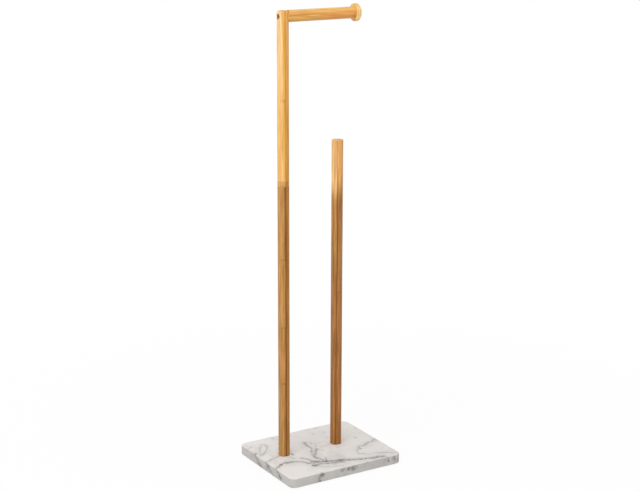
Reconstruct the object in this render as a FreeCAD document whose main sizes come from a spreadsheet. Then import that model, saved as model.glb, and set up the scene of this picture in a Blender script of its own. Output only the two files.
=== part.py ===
# Free-standing toilet paper stand: a marble slab with two round bamboo posts. The tall post is two
# sections on a threaded stud and carries a level arm with a stop disc, and the short post takes the
# spare rolls. Each post is drawn down onto the slab by one screw from below.
# Millimetres, +Z up, +X along the arm, +Y to the back, origin on the floor under the slab's centre.
import FreeCAD, Part
import os

import Sketcher

# Driving dimensions: name, millimetres, what it is.
DRIVING_SIZES = (
    ("base_length", 203.0, "slab, along the arm"),
    ("base_depth", 169.0, "slab, front to back"),
    ("base_thickness", 15.4, "slab"),
    ("base_corner_radius", 10.5, "slab's upright corners"),
    ("base_top_edge", 1.5, "rounding along the slab's top edge"),
    ("base_bottom_edge", 1.0, "rounding along the slab's bottom edge"),
    ("pad_diameter", 16.0, "foot pad"),
    ("pad_thickness", 1.5, "foot pad"),
    ("pad_edge", 0.4, "rounding of a foot pad's lower edge"),
    ("pad_inset", 18.0, "slab's edges to a foot pad's centre"),
    ("post_diameter", 18.0, "both posts"),
    ("tall_post_inset", 40.0, "slab's left edge to the tall post's axis"),
    ("post_spacing", 96.5, "tall post's axis to the spare post's axis"),
    ("post_setback", 8.2, "both posts' axes behind the slab's centre line"),
    ("lower_post_length", 437.4, "tall post's lower section"),
    ("upper_post_length", 264.6, "tall post's upper section"),
    ("spare_post_length", 500.0, "spare post"),
    ("tall_top_round", 3.2, "rounding of the tall post's top"),
    ("spare_top_round", 0.6, "rounding of the spare post's top"),
    ("joint_chamfer", 0.25, "both sides of the joint in the tall post"),
    ("foot_chamfer", 0.5, "lower end of each post"),
    ("arm_diameter", 18.0, "roll arm"),
    ("arm_drop", 8.5, "arm's axis below the tall post's top"),
    ("arm_reach", 124.4, "tall post's axis to the stop disc"),
    ("saddle_tip", 3.0, "blunt tips of the arm's hollowed end, from the post's axis"),
    ("saddle_gap", 0.3, "arm's hollowed end to the post"),
    ("disc_diameter", 27.0, "stop disc"),
    ("disc_thickness", 6.8, "stop disc"),
    ("disc_inner_edge", 0.5, "rounding of the stop disc's edge towards the arm"),
    ("disc_outer_edge", 2.5, "rounding of the stop disc's outer edge"),
    ("disc_skin", 2.0, "wood left between the dowel hole and the disc's outer face"),
    ("base_screw_diameter", 6.0, "screw under each post"),
    ("base_screw_head_diameter", 10.5, "screw under each post"),
    ("base_screw_head_height", 3.3, "screw under each post"),
    ("base_screw_key", 4.0, "hexagon socket across flats"),
    ("base_screw_key_depth", 2.0, "hexagon socket"),
    ("base_screw_reach", 13.0, "screw's tip above the post's foot"),
    ("base_screw_play", 0.3, "screw to its hole in the slab, all round"),
    ("head_recess", 1.0, "screw's head above the slab's underside"),
    ("base_washer_diameter", 14.0, "washer under each screw's head"),
    ("base_washer_thickness", 1.5, "washer under each screw's head"),
    ("base_washer_play", 0.2, "screw to its washer, all round"),
    ("recess_play", 1.0, "washer to its recess in the slab, all round"),
    ("insert_diameter", 10.0, "threaded insert in a post"),
    ("insert_length", 15.0, "threaded insert in a post"),
    ("insert_sink", 0.5, "threaded insert below the wood's surface"),
    ("insert_barb", 0.5, "height of a barb on a threaded insert"),
    ("insert_fit", 0.05, "insert to its hole, all round"),
    ("thread_fit", 0.05, "screw or stud to its insert, all round"),
    ("hole_end_room", 3.0, "blind hole past the insert or the screw's tip"),
    ("stud_diameter", 6.0, "stud that joins the tall post's sections"),
    ("stud_reach", 13.0, "stud's tip past the joint, each way"),
    ("tip_chamfer", 0.8, "ends of screws and of the stud"),
    ("head_chamfer", 0.6, "rim of a screw's head"),
    ("arm_screw_diameter", 4.0, "screw that holds the arm"),
    ("arm_screw_head_diameter", 7.6, "screw that holds the arm"),
    ("arm_screw_head_height", 4.0, "screw that holds the arm"),
    ("arm_screw_key", 2.5, "hexagon socket across flats"),
    ("arm_screw_key_depth", 2.2, "hexagon socket"),
    ("arm_screw_sink", 7.6, "depth of the recess for the arm screw's head"),
    ("arm_screw_reach", 13.0, "screw's tip past the arm's hollowed end"),
    ("arm_screw_play", 0.25, "arm screw to its hole in the post, all round"),
    ("arm_head_play", 0.4, "arm screw's head to its recess, all round"),
    ("arm_insert_diameter", 7.0, "threaded insert in the arm"),
    ("arm_insert_length", 13.0, "threaded insert in the arm"),
    ("dowel_diameter", 6.0, "dowel that holds the stop disc"),
    ("dowel_arm_depth", 16.0, "dowel's length inside the arm"),
    ("dowel_chamfer", 0.6, "ends of the dowel"),
    ("dowel_fit", 0.05, "dowel to its holes, all round"),
    ("dowel_end_room", 0.3, "dowel's ends to the bottom of their holes"),
)
INSERT_BARBS = 4

# Places and lengths worked out from the driving dimensions.
TALL_X = "(Sizes.tall_post_inset - Sizes.base_length / 2)"
SPARE_X = f"({TALL_X} + Sizes.post_spacing)"
POST_Y = "Sizes.post_setback"
POST_RADIUS = "(Sizes.post_diameter / 2)"
SLAB_TOP = "(Sizes.pad_thickness + Sizes.base_thickness)"
JOINT_Z = f"({SLAB_TOP} + Sizes.lower_post_length)"
ARM_Z = f"({JOINT_Z} + Sizes.upper_post_length - Sizes.arm_drop)"
RECESS_DEPTH = "(Sizes.base_washer_thickness + Sizes.base_screw_head_height + Sizes.head_recess)"
WASHER_Z = f"(Sizes.pad_thickness + {RECESS_DEPTH} - Sizes.base_washer_thickness)"
BASE_SHANK = f"({SLAB_TOP} - {WASHER_Z} + Sizes.base_screw_reach)"
BASE_HOLE_DEPTH = ("(max(Sizes.insert_sink + Sizes.insert_length; Sizes.base_screw_reach)"
                   " + Sizes.hole_end_room)")
STUD_HOLE_DEPTH = ("(max(Sizes.insert_sink + Sizes.insert_length; Sizes.stud_reach)"
                   " + Sizes.hole_end_room)")
INSERT_HOLE = "(Sizes.insert_diameter + 2 * Sizes.insert_fit)"
SADDLE_BOTTOM = f"({POST_RADIUS} + Sizes.saddle_gap)"
ARM_HEAD_SEAT = f"(Sizes.arm_screw_sink - {POST_RADIUS})"
ARM_SHANK = f"({SADDLE_BOTTOM} + Sizes.arm_screw_reach - {ARM_HEAD_SEAT})"
ARM_HOLE_DEPTH = (f"({SADDLE_BOTTOM} + Sizes.hole_end_room"
                  " + max(Sizes.insert_sink + Sizes.arm_insert_length; Sizes.arm_screw_reach))")
DISC_HOLE_DEPTH = "(Sizes.disc_thickness - Sizes.disc_skin)"
DOWEL_HOLE = "(Sizes.dowel_diameter + 2 * Sizes.dowel_fit)"

doc = FreeCAD.newDocument("toilet_paper_stand")
sheet = doc.addObject("Spreadsheet::Sheet", "Sizes")
for row, (name, millimetres, note) in enumerate(DRIVING_SIZES, start=1):
    sheet.set(f"A{row}", name)
    sheet.set(f"B{row}", str(millimetres))
    sheet.setAlias(f"B{row}", name)
    sheet.set(f"C{row}", note)
doc.recompute()

pieces = []


def value(expression):
    """Number that an expression of the sheet gives now."""
    return float(sheet.evalExpression(expression))


def new_body(label):
    """Empty body that will be written as one piece."""
    body = doc.addObject("PartDesign::Body", label)
    body.Label = label
    pieces.append(body)
    return body


def place(piece, across, back, up):
    """Put a piece where three expressions say."""
    for axis, expression in zip("xyz", (across, back, up)):
        piece.setExpression(f"Placement.Base.{axis}", expression)
    doc.recompute()


def new_sketch(body, plane_role, offset="0"):
    """Sketch on one of the body's own planes, moved along the plane's normal."""
    plane = next(item for item in body.Origin.OriginFeatures if item.Role == plane_role)
    sketch = body.newObject("Sketcher::SketchObject", f"{body.Name}_sketch")
    sketch.AttachmentSupport = [(plane, "")]
    sketch.MapMode = "FlatFace"
    sketch.setExpression("AttachmentOffset.Base.z", offset)
    return sketch


def hold_point(sketch, geometry, point, across, up):
    """Fix a point of a sketch at two expressions, where "0" is the sketch's own axis."""
    if across == "0" and up == "0":
        sketch.addConstraint(Sketcher.Constraint("Coincident", geometry, point, -1, 1))
        return
    for kind, axis_line, expression in (("DistanceX", -2, across), ("DistanceY", -1, up)):
        if expression == "0":
            sketch.addConstraint(Sketcher.Constraint("PointOnObject", geometry, point, axis_line))
            continue
        held = Sketcher.Constraint(kind, -1, 1, geometry, point, value(expression))
        index = sketch.addConstraint(held)
        sketch.setExpression(f"Constraints[{index}]", expression)


def add_circle(sketch, diameter, across="0", up="0"):
    """Circle of a bound diameter."""
    centre = FreeCAD.Vector(value(across), value(up), 0)
    circle = Part.Circle(centre, FreeCAD.Vector(0, 0, 1), value(diameter) / 2)
    geometry = sketch.addGeometry(circle)
    index = sketch.addConstraint(Sketcher.Constraint("Diameter", geometry, value(diameter)))
    sketch.setExpression(f"Constraints[{index}]", diameter)
    hold_point(sketch, geometry, 3, across, up)


def add_outline(sketch, corners):
    """Closed outline of straight lines through bound corners."""
    points = [FreeCAD.Vector(value(across), value(up), 0) for across, up in corners]
    lines = []
    for start, end in zip(points, points[1:] + points[:1]):
        lines.append(sketch.addGeometry(Part.LineSegment(start, end)))
    for line, following in zip(lines, lines[1:] + lines[:1]):
        sketch.addConstraint(Sketcher.Constraint("Coincident", line, 2, following, 1))
    for line, (across, up) in zip(lines, corners):
        hold_point(sketch, line, 1, across, up)


def add_hexagon(sketch, across_flats):
    """Regular hexagon about the sketch's origin."""
    flat = f"{across_flats} / 2"
    shoulder = f"{across_flats} / (2 * sqrt(3))"
    tip = f"{across_flats} / sqrt(3)"
    add_outline(sketch, ((flat, shoulder), ("0", tip), (f"-({flat})", shoulder),
                         (f"-({flat})", f"-({shoulder})"), ("0", f"-({tip})"), (flat, f"-({shoulder})")))


def pad(body, sketch, length):
    """Solid from a sketch, along the sketch's normal."""
    feature = body.newObject("PartDesign::Pad", f"{body.Name}_pad")
    feature.Profile = sketch
    feature.setExpression("Length", length)
    doc.recompute()
    return feature


def pocket(body, sketch, depth=None, along_normal=False):
    """Cut from a sketch to a bound depth, or right through both ways where no depth is given."""
    before = body.Shape.Volume
    feature = body.newObject("PartDesign::Pocket", f"{body.Name}_pocket")
    feature.Profile = sketch
    if depth is None:
        feature.SideType = "Symmetric"
        feature.Type = "ThroughAll"
    else:
        feature.setExpression("Length", depth)
        feature.Reversed = along_normal
    doc.recompute()
    if not body.Shape.Volume < before:
        raise RuntimeError(f"{body.Label}: a pocket cut nothing")
    return feature


def turn(body, outline, axis):
    """Turned solid: outline is pairs of (radius, distance along), axis is "X" or "Z"."""
    sketch = new_sketch(body, "XZ_Plane")
    corners = outline if axis == "Z" else [(along, radius) for radius, along in outline]
    add_outline(sketch, corners)
    feature = body.newObject("PartDesign::Revolution", f"{body.Name}_turned")
    feature.Profile = sketch
    feature.ReferenceAxis = (sketch, ["V_Axis" if axis == "Z" else "H_Axis"])
    feature.Angle = 360
    doc.recompute()
    return feature


def edges_where(feature, wanted):
    """Names of a feature's edges that pass a test."""
    names = [f"Edge{number}" for number, edge in enumerate(feature.Shape.Edges, start=1) if wanted(edge)]
    if not names:
        raise RuntimeError(f"{feature.Label}: no such edge")
    return names


def at_level(edge, axis, level):
    """True for an edge that lies in the plane at a level of one axis."""
    tolerance = 1e-4
    low = getattr(edge.BoundBox, f"{axis}Min")
    high = getattr(edge.BoundBox, f"{axis}Max")
    return abs(low - level) < tolerance and abs(high - level) < tolerance


def ease(body, feature, kind, size_name, wanted):
    """Fillet or chamfer the edges of a feature that pass a test."""
    eased = body.newObject(f"PartDesign::{kind}", f"{body.Name}_{kind.lower()}")
    eased.Base = (feature, edges_where(feature, wanted))
    eased.setExpression("Radius" if kind == "Fillet" else "Size", f"Sizes.{size_name}")
    doc.recompute()
    return eased


# Base slab, with a clearance hole and a recess for a washer and a screw's head under each post.
def make_slab():
    body = new_body("base_slab")
    half_length = "Sizes.base_length / 2"
    half_depth = "Sizes.base_depth / 2"
    outline = new_sketch(body, "XY_Plane")
    add_outline(outline, ((half_length, half_depth), (f"-({half_length})", half_depth),
                          (f"-({half_length})", f"-({half_depth})"), (half_length, f"-({half_depth})")))
    block = pad(body, outline, "Sizes.base_thickness")
    thickness = value("Sizes.base_thickness")
    rounded = ease(body, block, "Fillet", "base_corner_radius",
                   lambda edge: edge.BoundBox.ZLength > thickness / 2)
    topped = ease(body, rounded, "Fillet", "base_top_edge", lambda edge: at_level(edge, "Z", thickness))
    ease(body, topped, "Fillet", "base_bottom_edge", lambda edge: at_level(edge, "Z", 0))
    holes = new_sketch(body, "XY_Plane")
    recesses = new_sketch(body, "XY_Plane")
    for post_x in (TALL_X, SPARE_X):
        add_circle(holes, "Sizes.base_screw_diameter + 2 * Sizes.base_screw_play", post_x, POST_Y)
        add_circle(recesses, "Sizes.base_washer_diameter + 2 * Sizes.recess_play", post_x, POST_Y)
    pocket(body, holes)
    pocket(body, recesses, RECESS_DEPTH, along_normal=True)
    place(body, "0", "0", "Sizes.pad_thickness")


# Four soft pads stuck under the slab's corners.
def make_foot_pads():
    across = "(Sizes.base_length / 2 - Sizes.pad_inset)"
    back = "(Sizes.base_depth / 2 - Sizes.pad_inset)"
    corners = {"front_left": (f"-{across}", f"-{back}"), "front_right": (across, f"-{back}"),
               "back_left": (f"-{across}", back), "back_right": (across, back)}
    for corner, (pad_x, pad_y) in corners.items():
        body = new_body(f"foot_pad_{corner}")
        outline = new_sketch(body, "XY_Plane")
        add_circle(outline, "Sizes.pad_diameter")
        disc = pad(body, outline, "Sizes.pad_thickness")
        ease(body, disc, "Fillet", "pad_edge", lambda edge: at_level(edge, "Z", 0))
        place(body, pad_x, pad_y, "0")


# Socket screw along +Z or +X, with its head's seat at the piece's own origin.
def make_screw(label, sizes, shank_length, axis):
    body = new_body(label)
    shank = f"Sizes.{sizes}_diameter / 2"
    head = f"Sizes.{sizes}_head_diameter / 2"
    head_end = f"-Sizes.{sizes}_head_height"
    turn(body, (("0", head_end), (f"{head} - Sizes.head_chamfer", head_end),
                (head, f"{head_end} + Sizes.head_chamfer"), (head, "0"), (shank, "0"),
                (shank, f"{shank_length} - Sizes.tip_chamfer"),
                (f"{shank} - Sizes.tip_chamfer", shank_length), ("0", shank_length)), axis)
    socket = new_sketch(body, "XY_Plane" if axis == "Z" else "YZ_Plane", head_end)
    add_hexagon(socket, f"Sizes.{sizes}_key")
    pocket(body, socket, f"Sizes.{sizes}_key_depth", along_normal=True)
    return body


# Barbed insert along +Z or +X, with its first face at the piece's own origin.
def make_insert(label, diameter, length, screw_diameter, axis):
    body = new_body(label)
    bore = f"{screw_diameter} / 2 + Sizes.thread_fit"
    outline = [(bore, "0")]
    for barb in range(INSERT_BARBS):
        start = "0" if barb == 0 else f"{length} * {barb} / {INSERT_BARBS}"
        outline.append((f"{diameter} / 2 - Sizes.insert_barb", start))
        outline.append((f"{diameter} / 2", f"{length} * {barb + 1} / {INSERT_BARBS}"))
    outline.append((bore, length))
    turn(body, outline, axis)
    return body


# Flat washer under a base screw's head.
def make_washer(label, post_x):
    outer = doc.addObject("Part::Cylinder", f"{label}_disc")
    outer.setExpression("Radius", "Sizes.base_washer_diameter / 2")
    outer.setExpression("Height", "Sizes.base_washer_thickness")
    hole = doc.addObject("Part::Cylinder", f"{label}_hole")
    hole.setExpression("Radius", "Sizes.base_screw_diameter / 2 + Sizes.base_washer_play")
    hole.setExpression("Height", "Sizes.base_washer_thickness")
    washer = doc.addObject("Part::Cut", label)
    washer.Label = label
    washer.Base = outer
    washer.Tool = hole
    pieces.append(washer)
    place(washer, post_x, POST_Y, WASHER_Z)


# What holds a post down: screw, washer and threaded insert.
def make_base_fixing(post_name, post_x):
    screw = make_screw(f"{post_name}_base_screw", "base_screw", BASE_SHANK, "Z")
    place(screw, post_x, POST_Y, WASHER_Z)
    make_washer(f"{post_name}_base_washer", post_x)
    insert = make_insert(f"{post_name}_base_insert", "Sizes.insert_diameter", "Sizes.insert_length",
                         "Sizes.base_screw_diameter", "Z")
    place(insert, post_x, POST_Y, f"{SLAB_TOP} + Sizes.insert_sink")


# Round rod along +Z from the piece's own origin, with a blind hole for an insert in its foot.
def make_rod(body, length, foot_hole_depth, foot_size, top_kind, top_size):
    outline = new_sketch(body, "XY_Plane")
    add_circle(outline, "Sizes.post_diameter")
    rod = pad(body, outline, length)
    top = value(length)
    footed = ease(body, rod, "Chamfer", foot_size, lambda edge: at_level(edge, "Z", 0))
    ease(body, footed, top_kind, top_size, lambda edge: at_level(edge, "Z", top))
    foot_hole = new_sketch(body, "XY_Plane")
    add_circle(foot_hole, INSERT_HOLE)
    pocket(body, foot_hole, foot_hole_depth, along_normal=True)


# Lower section of the tall post, with a second insert hole in its top for the joining stud.
def make_lower_post():
    body = new_body("tall_post_lower")
    make_rod(body, "Sizes.lower_post_length", BASE_HOLE_DEPTH, "foot_chamfer", "Chamfer", "joint_chamfer")
    top_hole = new_sketch(body, "XY_Plane", "Sizes.lower_post_length")
    add_circle(top_hole, INSERT_HOLE)
    pocket(body, top_hole, STUD_HOLE_DEPTH)
    place(body, TALL_X, POST_Y, SLAB_TOP)


# Upper section of the tall post, with a hole across its top for the arm's screw.
def make_upper_post():
    body = new_body("tall_post_upper")
    make_rod(body, "Sizes.upper_post_length", STUD_HOLE_DEPTH, "joint_chamfer", "Fillet", "tall_top_round")
    screw_height = "Sizes.upper_post_length - Sizes.arm_drop"
    cross_hole = new_sketch(body, "YZ_Plane")
    add_circle(cross_hole, "Sizes.arm_screw_diameter + 2 * Sizes.arm_screw_play", "0", screw_height)
    pocket(body, cross_hole)
    head_recess = new_sketch(body, "YZ_Plane", f"-{POST_RADIUS}")
    add_circle(head_recess, "Sizes.arm_screw_head_diameter + 2 * Sizes.arm_head_play", "0", screw_height)
    pocket(body, head_recess, "Sizes.arm_screw_sink", along_normal=True)
    place(body, TALL_X, POST_Y, JOINT_Z)


# Stud and two inserts that join the tall post's sections.
def make_post_joint():
    stud = new_body("joining_stud")
    radius = "Sizes.stud_diameter / 2"
    tip = f"{radius} - Sizes.tip_chamfer"
    turn(stud, (("0", "-Sizes.stud_reach"), (tip, "-Sizes.stud_reach"),
                (radius, "-Sizes.stud_reach + Sizes.tip_chamfer"),
                (radius, "Sizes.stud_reach - Sizes.tip_chamfer"),
                (tip, "Sizes.stud_reach"), ("0", "Sizes.stud_reach")), "Z")
    place(stud, TALL_X, POST_Y, JOINT_Z)
    insert_places = {"joint_insert_lower": f"{JOINT_Z} - Sizes.insert_sink - Sizes.insert_length",
                     "joint_insert_upper": f"{JOINT_Z} + Sizes.insert_sink"}
    for label, height in insert_places.items():
        insert = make_insert(label, "Sizes.insert_diameter", "Sizes.insert_length",
                             "Sizes.stud_diameter", "Z")
        place(insert, TALL_X, POST_Y, height)


# Roll arm along +X from the tall post's axis: its near end is hollowed to sit against the post.
def make_arm():
    body = new_body("roll_arm")
    outline = new_sketch(body, "YZ_Plane", "Sizes.saddle_tip")
    add_circle(outline, "Sizes.arm_diameter")
    pad(body, outline, "Sizes.arm_reach - Sizes.saddle_tip")
    saddle = new_sketch(body, "XY_Plane")
    add_circle(saddle, f"2 * {SADDLE_BOTTOM}")
    pocket(body, saddle)
    insert_hole = new_sketch(body, "YZ_Plane")
    add_circle(insert_hole, "Sizes.arm_insert_diameter + 2 * Sizes.insert_fit")
    pocket(body, insert_hole, ARM_HOLE_DEPTH, along_normal=True)
    dowel_hole = new_sketch(body, "YZ_Plane", "Sizes.arm_reach")
    add_circle(dowel_hole, DOWEL_HOLE)
    pocket(body, dowel_hole, "Sizes.dowel_arm_depth + Sizes.dowel_end_room")
    place(body, TALL_X, POST_Y, ARM_Z)


# Screw and insert that hold the arm to the tall post.
def make_arm_fixing():
    screw = make_screw("arm_screw", "arm_screw", ARM_SHANK, "X")
    place(screw, f"{TALL_X} + {ARM_HEAD_SEAT}", POST_Y, ARM_Z)
    insert = make_insert("arm_insert", "Sizes.arm_insert_diameter", "Sizes.arm_insert_length",
                         "Sizes.arm_screw_diameter", "X")
    place(insert, f"{TALL_X} + {SADDLE_BOTTOM} + Sizes.insert_sink", POST_Y, ARM_Z)


# Stop disc on the arm's free end, and the dowel that holds it.
def make_stop_disc():
    disc = new_body("arm_stop_disc")
    outline = new_sketch(disc, "YZ_Plane")
    add_circle(outline, "Sizes.disc_diameter")
    plain = pad(disc, outline, "Sizes.disc_thickness")
    thickness = value("Sizes.disc_thickness")
    inner = ease(disc, plain, "Fillet", "disc_inner_edge", lambda edge: at_level(edge, "X", 0))
    ease(disc, inner, "Fillet", "disc_outer_edge", lambda edge: at_level(edge, "X", thickness))
    dowel_hole = new_sketch(disc, "YZ_Plane")
    add_circle(dowel_hole, DOWEL_HOLE)
    pocket(disc, dowel_hole, DISC_HOLE_DEPTH, along_normal=True)
    place(disc, f"{TALL_X} + Sizes.arm_reach", POST_Y, ARM_Z)

    dowel = new_body("stop_disc_dowel")
    radius = "Sizes.dowel_diameter / 2"
    tip = f"{radius} - Sizes.dowel_chamfer"
    near_end = "-Sizes.dowel_arm_depth"
    far_end = f"{DISC_HOLE_DEPTH} - Sizes.dowel_end_room"
    turn(dowel, (("0", near_end), (tip, near_end), (radius, f"{near_end} + Sizes.dowel_chamfer"),
                 (radius, f"{far_end} - Sizes.dowel_chamfer"), (tip, far_end), ("0", far_end)), "X")
    place(dowel, f"{TALL_X} + Sizes.arm_reach", POST_Y, ARM_Z)


# Short post for the spare rolls.
def make_spare_post():
    body = new_body("spare_post")
    make_rod(body, "Sizes.spare_post_length", BASE_HOLE_DEPTH, "foot_chamfer", "Fillet", "spare_top_round")
    place(body, SPARE_X, POST_Y, SLAB_TOP)


def write_pieces():
    """Write each piece to its own file, once every object of the document is sound."""
    for item in doc.Objects:
        if "Invalid" in item.State or "Error" in item.State:
            raise RuntimeError(f"{item.Label}: {item.State}")
    for piece in pieces:
        shape = piece.Shape
        if shape.isNull() or not shape.isValid() or len(shape.Solids) != 1:
            raise RuntimeError(f"{piece.Label}: not one valid solid")
    os.makedirs("parts", exist_ok=True)
    for piece in pieces:
        piece.Shape.exportStep(f"parts/{piece.Label}.step")
        print(f"{piece.Label}: {piece.Shape.Volume:.1f} mm3")


make_slab()
make_foot_pads()
make_base_fixing("tall_post", TALL_X)
make_base_fixing("spare_post", SPARE_X)
make_lower_post()
make_post_joint()
make_upper_post()
make_arm()
make_arm_fixing()
make_stop_disc()
make_spare_post()
doc.recompute()
write_pieces()
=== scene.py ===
"""Looks of a free-standing toilet paper stand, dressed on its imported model.

A marble slab carries two round bamboo posts. The tall one is two sections and holds a level arm with a
stop disc for the roll in use, and the short one takes the spare rolls. Lengths are in metres, in the
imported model's frame: +Z up, +X along the arm, +Y to the back.
"""

import logging
import math
from dataclasses import dataclass, field
from enum import Enum
from typing import Any, ClassVar

import bmesh
import bpy
from mathutils import Euler, Matrix, Vector, noise

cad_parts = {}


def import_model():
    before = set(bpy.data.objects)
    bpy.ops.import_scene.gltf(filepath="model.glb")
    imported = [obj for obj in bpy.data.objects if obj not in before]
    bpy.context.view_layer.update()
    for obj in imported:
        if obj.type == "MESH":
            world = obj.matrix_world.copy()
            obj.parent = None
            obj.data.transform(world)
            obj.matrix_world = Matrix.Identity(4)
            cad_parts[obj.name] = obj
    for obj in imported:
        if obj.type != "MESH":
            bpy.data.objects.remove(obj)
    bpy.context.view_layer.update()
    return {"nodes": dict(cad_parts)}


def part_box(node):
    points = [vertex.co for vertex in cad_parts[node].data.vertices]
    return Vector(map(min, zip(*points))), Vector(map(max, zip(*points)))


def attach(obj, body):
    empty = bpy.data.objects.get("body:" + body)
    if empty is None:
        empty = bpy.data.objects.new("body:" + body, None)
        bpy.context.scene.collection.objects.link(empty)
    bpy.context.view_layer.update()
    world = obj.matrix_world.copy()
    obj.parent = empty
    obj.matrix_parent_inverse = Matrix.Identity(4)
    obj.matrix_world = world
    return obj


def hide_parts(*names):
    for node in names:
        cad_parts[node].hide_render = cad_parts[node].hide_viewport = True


LOG = logging.getLogger("toilet_paper_stand")
MM = 0.001
SHARP_ANGLE = math.radians(40)
POSTS = ("tall_post", "spare_post")

Srgb = tuple[int, int, int]
Pair = tuple[float, float]
Point = tuple[float, float, float]
Nodes = dict[str, bpy.types.Object]
Socket = bpy.types.NodeSocket


def linear(tone: Srgb) -> tuple[float, float, float, float]:
    """Scene colour of a tone.

    Args:
        tone: Red, green and blue as a screen shows them, 0 to 255.

    Returns:
        The linear colour with full alpha.
    """
    parts = []
    for part in tone:
        share = part / 255
        parts.append(share / 12.92 if share <= 0.04045 else ((share + 0.055) / 1.055) ** 2.4)
    return (parts[0], parts[1], parts[2], 1.0)


@dataclass(frozen=True)
class Waves:
    """A noise.

    Attributes:
        scale: Waves for each metre.
        detail: Octaves.
        roughness: Strength of each finer octave.
    """

    scale: float
    detail: float = 2.0
    roughness: float = 0.5


@dataclass(frozen=True)
class Patches:
    """Places where a noise is high.

    Attributes:
        waves: The noise.
        span: The noise where a patch starts, and where it is full.
        share: How strong a full patch is, 0 to 1.
    """

    waves: Waves
    span: Pair
    share: float = 1.0


class Graph:
    """A node tree, filled call by call. Each input gets an output socket or a plain value."""

    # Numbers of the Mix node's two colour inputs and of its colour output.
    MIX_FIRST: ClassVar[int] = 6
    MIX_SECOND: ClassVar[int] = 7
    MIX_RESULT: ClassVar[int] = 2

    def __init__(self, tree: bpy.types.NodeTree) -> None:
        """Empties a tree to fill it."""
        self.tree = tree
        tree.nodes.clear()

    def node(self, kind: str, inputs: dict[Any, Any], **settings: Any) -> bpy.types.Node:
        """Adds a node.

        Args:
            kind: The node's type name.
            inputs: What each input gets, by the input's name or number.
            settings: Properties of the node to set.

        Returns:
            The new node.
        """
        made = self.tree.nodes.new(kind)
        for key, setting in settings.items():
            setattr(made, key, setting)
        for key, source in inputs.items():
            if isinstance(source, bpy.types.NodeSocket):
                self.tree.links.new(source, made.inputs[key])
            else:
                made.inputs[key].default_value = source
        return made

    def math(self, operation: str, *values: Any) -> Socket:
        """Result of one Math node."""
        return self.node("ShaderNodeMath", dict(enumerate(values)), operation=operation).outputs[0]

    def vector(self, operation: str, *values: Any) -> Socket:
        """Result of one Vector Math node, a number for a length or a dot product and else a vector."""
        made = self.node("ShaderNodeVectorMath", dict(enumerate(values)), operation=operation)
        return made.outputs["Value" if operation in ("LENGTH", "DOT_PRODUCT") else "Vector"]

    def ranged(self, number: Any, span: Pair) -> Socket:
        """Number from 0 to 1, brought to a span from its low to its high end."""
        return self.math("MULTIPLY_ADD", number, span[1] - span[0], span[0])

    def step(self, number: Any, span: Pair, before: float = 0.0, after: float = 1.0) -> Socket:
        """Adds a smooth step.

        Args:
            number: What is tested.
            span: Where the step starts and where it ends.
            before: Result before the start.
            after: Result after the end.

        Returns:
            The result.
        """
        inputs = dict(enumerate((number, *span, before, after)))
        made = self.node("ShaderNodeMapRange", inputs, interpolation_type="SMOOTHSTEP")
        return made.outputs[0]

    def blend(self, share: Any, first: Any, second: Any, way: str = "MIX") -> Socket:
        """Mixes two colours.

        Args:
            share: How much of the second colour shows, kept from 0 to 1.
            first: The colour at 0.
            second: The colour at 1.
            way: Name of the Mix node's blend type.

        Returns:
            The mixed colour.
        """
        inputs = {0: share, self.MIX_FIRST: first, self.MIX_SECOND: second}
        made = self.node("ShaderNodeMix", inputs, data_type="RGBA", blend_type=way)
        return made.outputs[self.MIX_RESULT]

    def tinted(self, colour: Socket, share: Any, full: Point, none: Point = (1.0, 1.0, 1.0)) -> Socket:
        """Colour times a tint, which goes from none to full with the share."""
        return self.blend(1.0, colour, self.blend(share, (*none, 1.0), (*full, 1.0)), "MULTIPLY")

    def pick(self, position: Any, tones: tuple[Srgb, ...]) -> Socket:
        """Picks one of several tones, with no blend between them.

        Args:
            position: From 0 to 1 over all the tones.
            tones: The tones in order.

        Returns:
            The picked colour.
        """
        made = self.node("ShaderNodeValToRGB", {0: position})
        ramp = made.color_ramp
        ramp.interpolation = "CONSTANT"
        for index, tone in enumerate(tones):
            place = index / len(tones)
            stop = ramp.elements[0] if index == 0 else ramp.elements.new(place)
            stop.position = place
            stop.color = linear(tone)
        ramp.elements.remove(ramp.elements[-1])
        return made.outputs[0]

    def split(self, vector: Socket) -> tuple[Socket, ...]:
        """Three parts of a vector."""
        return tuple(self.node("ShaderNodeSeparateXYZ", {0: vector}).outputs)

    def join(self, *parts: Any) -> Socket:
        """Vector of three parts, 0 where one is left out."""
        return self.node("ShaderNodeCombineXYZ", dict(enumerate(parts))).outputs[0]

    def mapped(self, vector: Socket, turn: Euler, place: Vector) -> Socket:
        """Vector that is turned and then shifted."""
        inputs = {"Vector": vector, "Location": place, "Rotation": turn}
        return self.node("ShaderNodeMapping", inputs, vector_type="POINT").outputs[0]

    def noise(self, vector: Socket, waves: Waves, coloured: bool = False) -> Socket:
        """Adds a noise.

        Args:
            vector: Where it is read.
            waves: Its waves.
            coloured: Whether three of them are wanted, as a colour.

        Returns:
            The noise, about 0.5 on average.
        """
        inputs = {
            "Vector": vector,
            "Scale": waves.scale,
            "Detail": waves.detail,
            "Roughness": waves.roughness,
        }
        made = self.node("ShaderNodeTexNoise", inputs, noise_dimensions="3D")
        return made.outputs["Color"] if coloured else made.outputs[0]

    def warped(self, vector: Socket, waves: Waves, amount: float) -> Socket:
        """Vector shifted by a noise, over a width of the given amount."""
        centred = self.vector("SUBTRACT", self.noise(vector, waves, True), (0.5, 0.5, 0.5))
        return self.vector("MULTIPLY_ADD", centred, (amount, amount, amount), vector)

    def patches(self, vector: Socket, patches: Patches) -> Socket:
        """How strong the patches are at a vector."""
        return self.step(self.noise(vector, patches.waves), patches.span, 0.0, patches.share)

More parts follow.
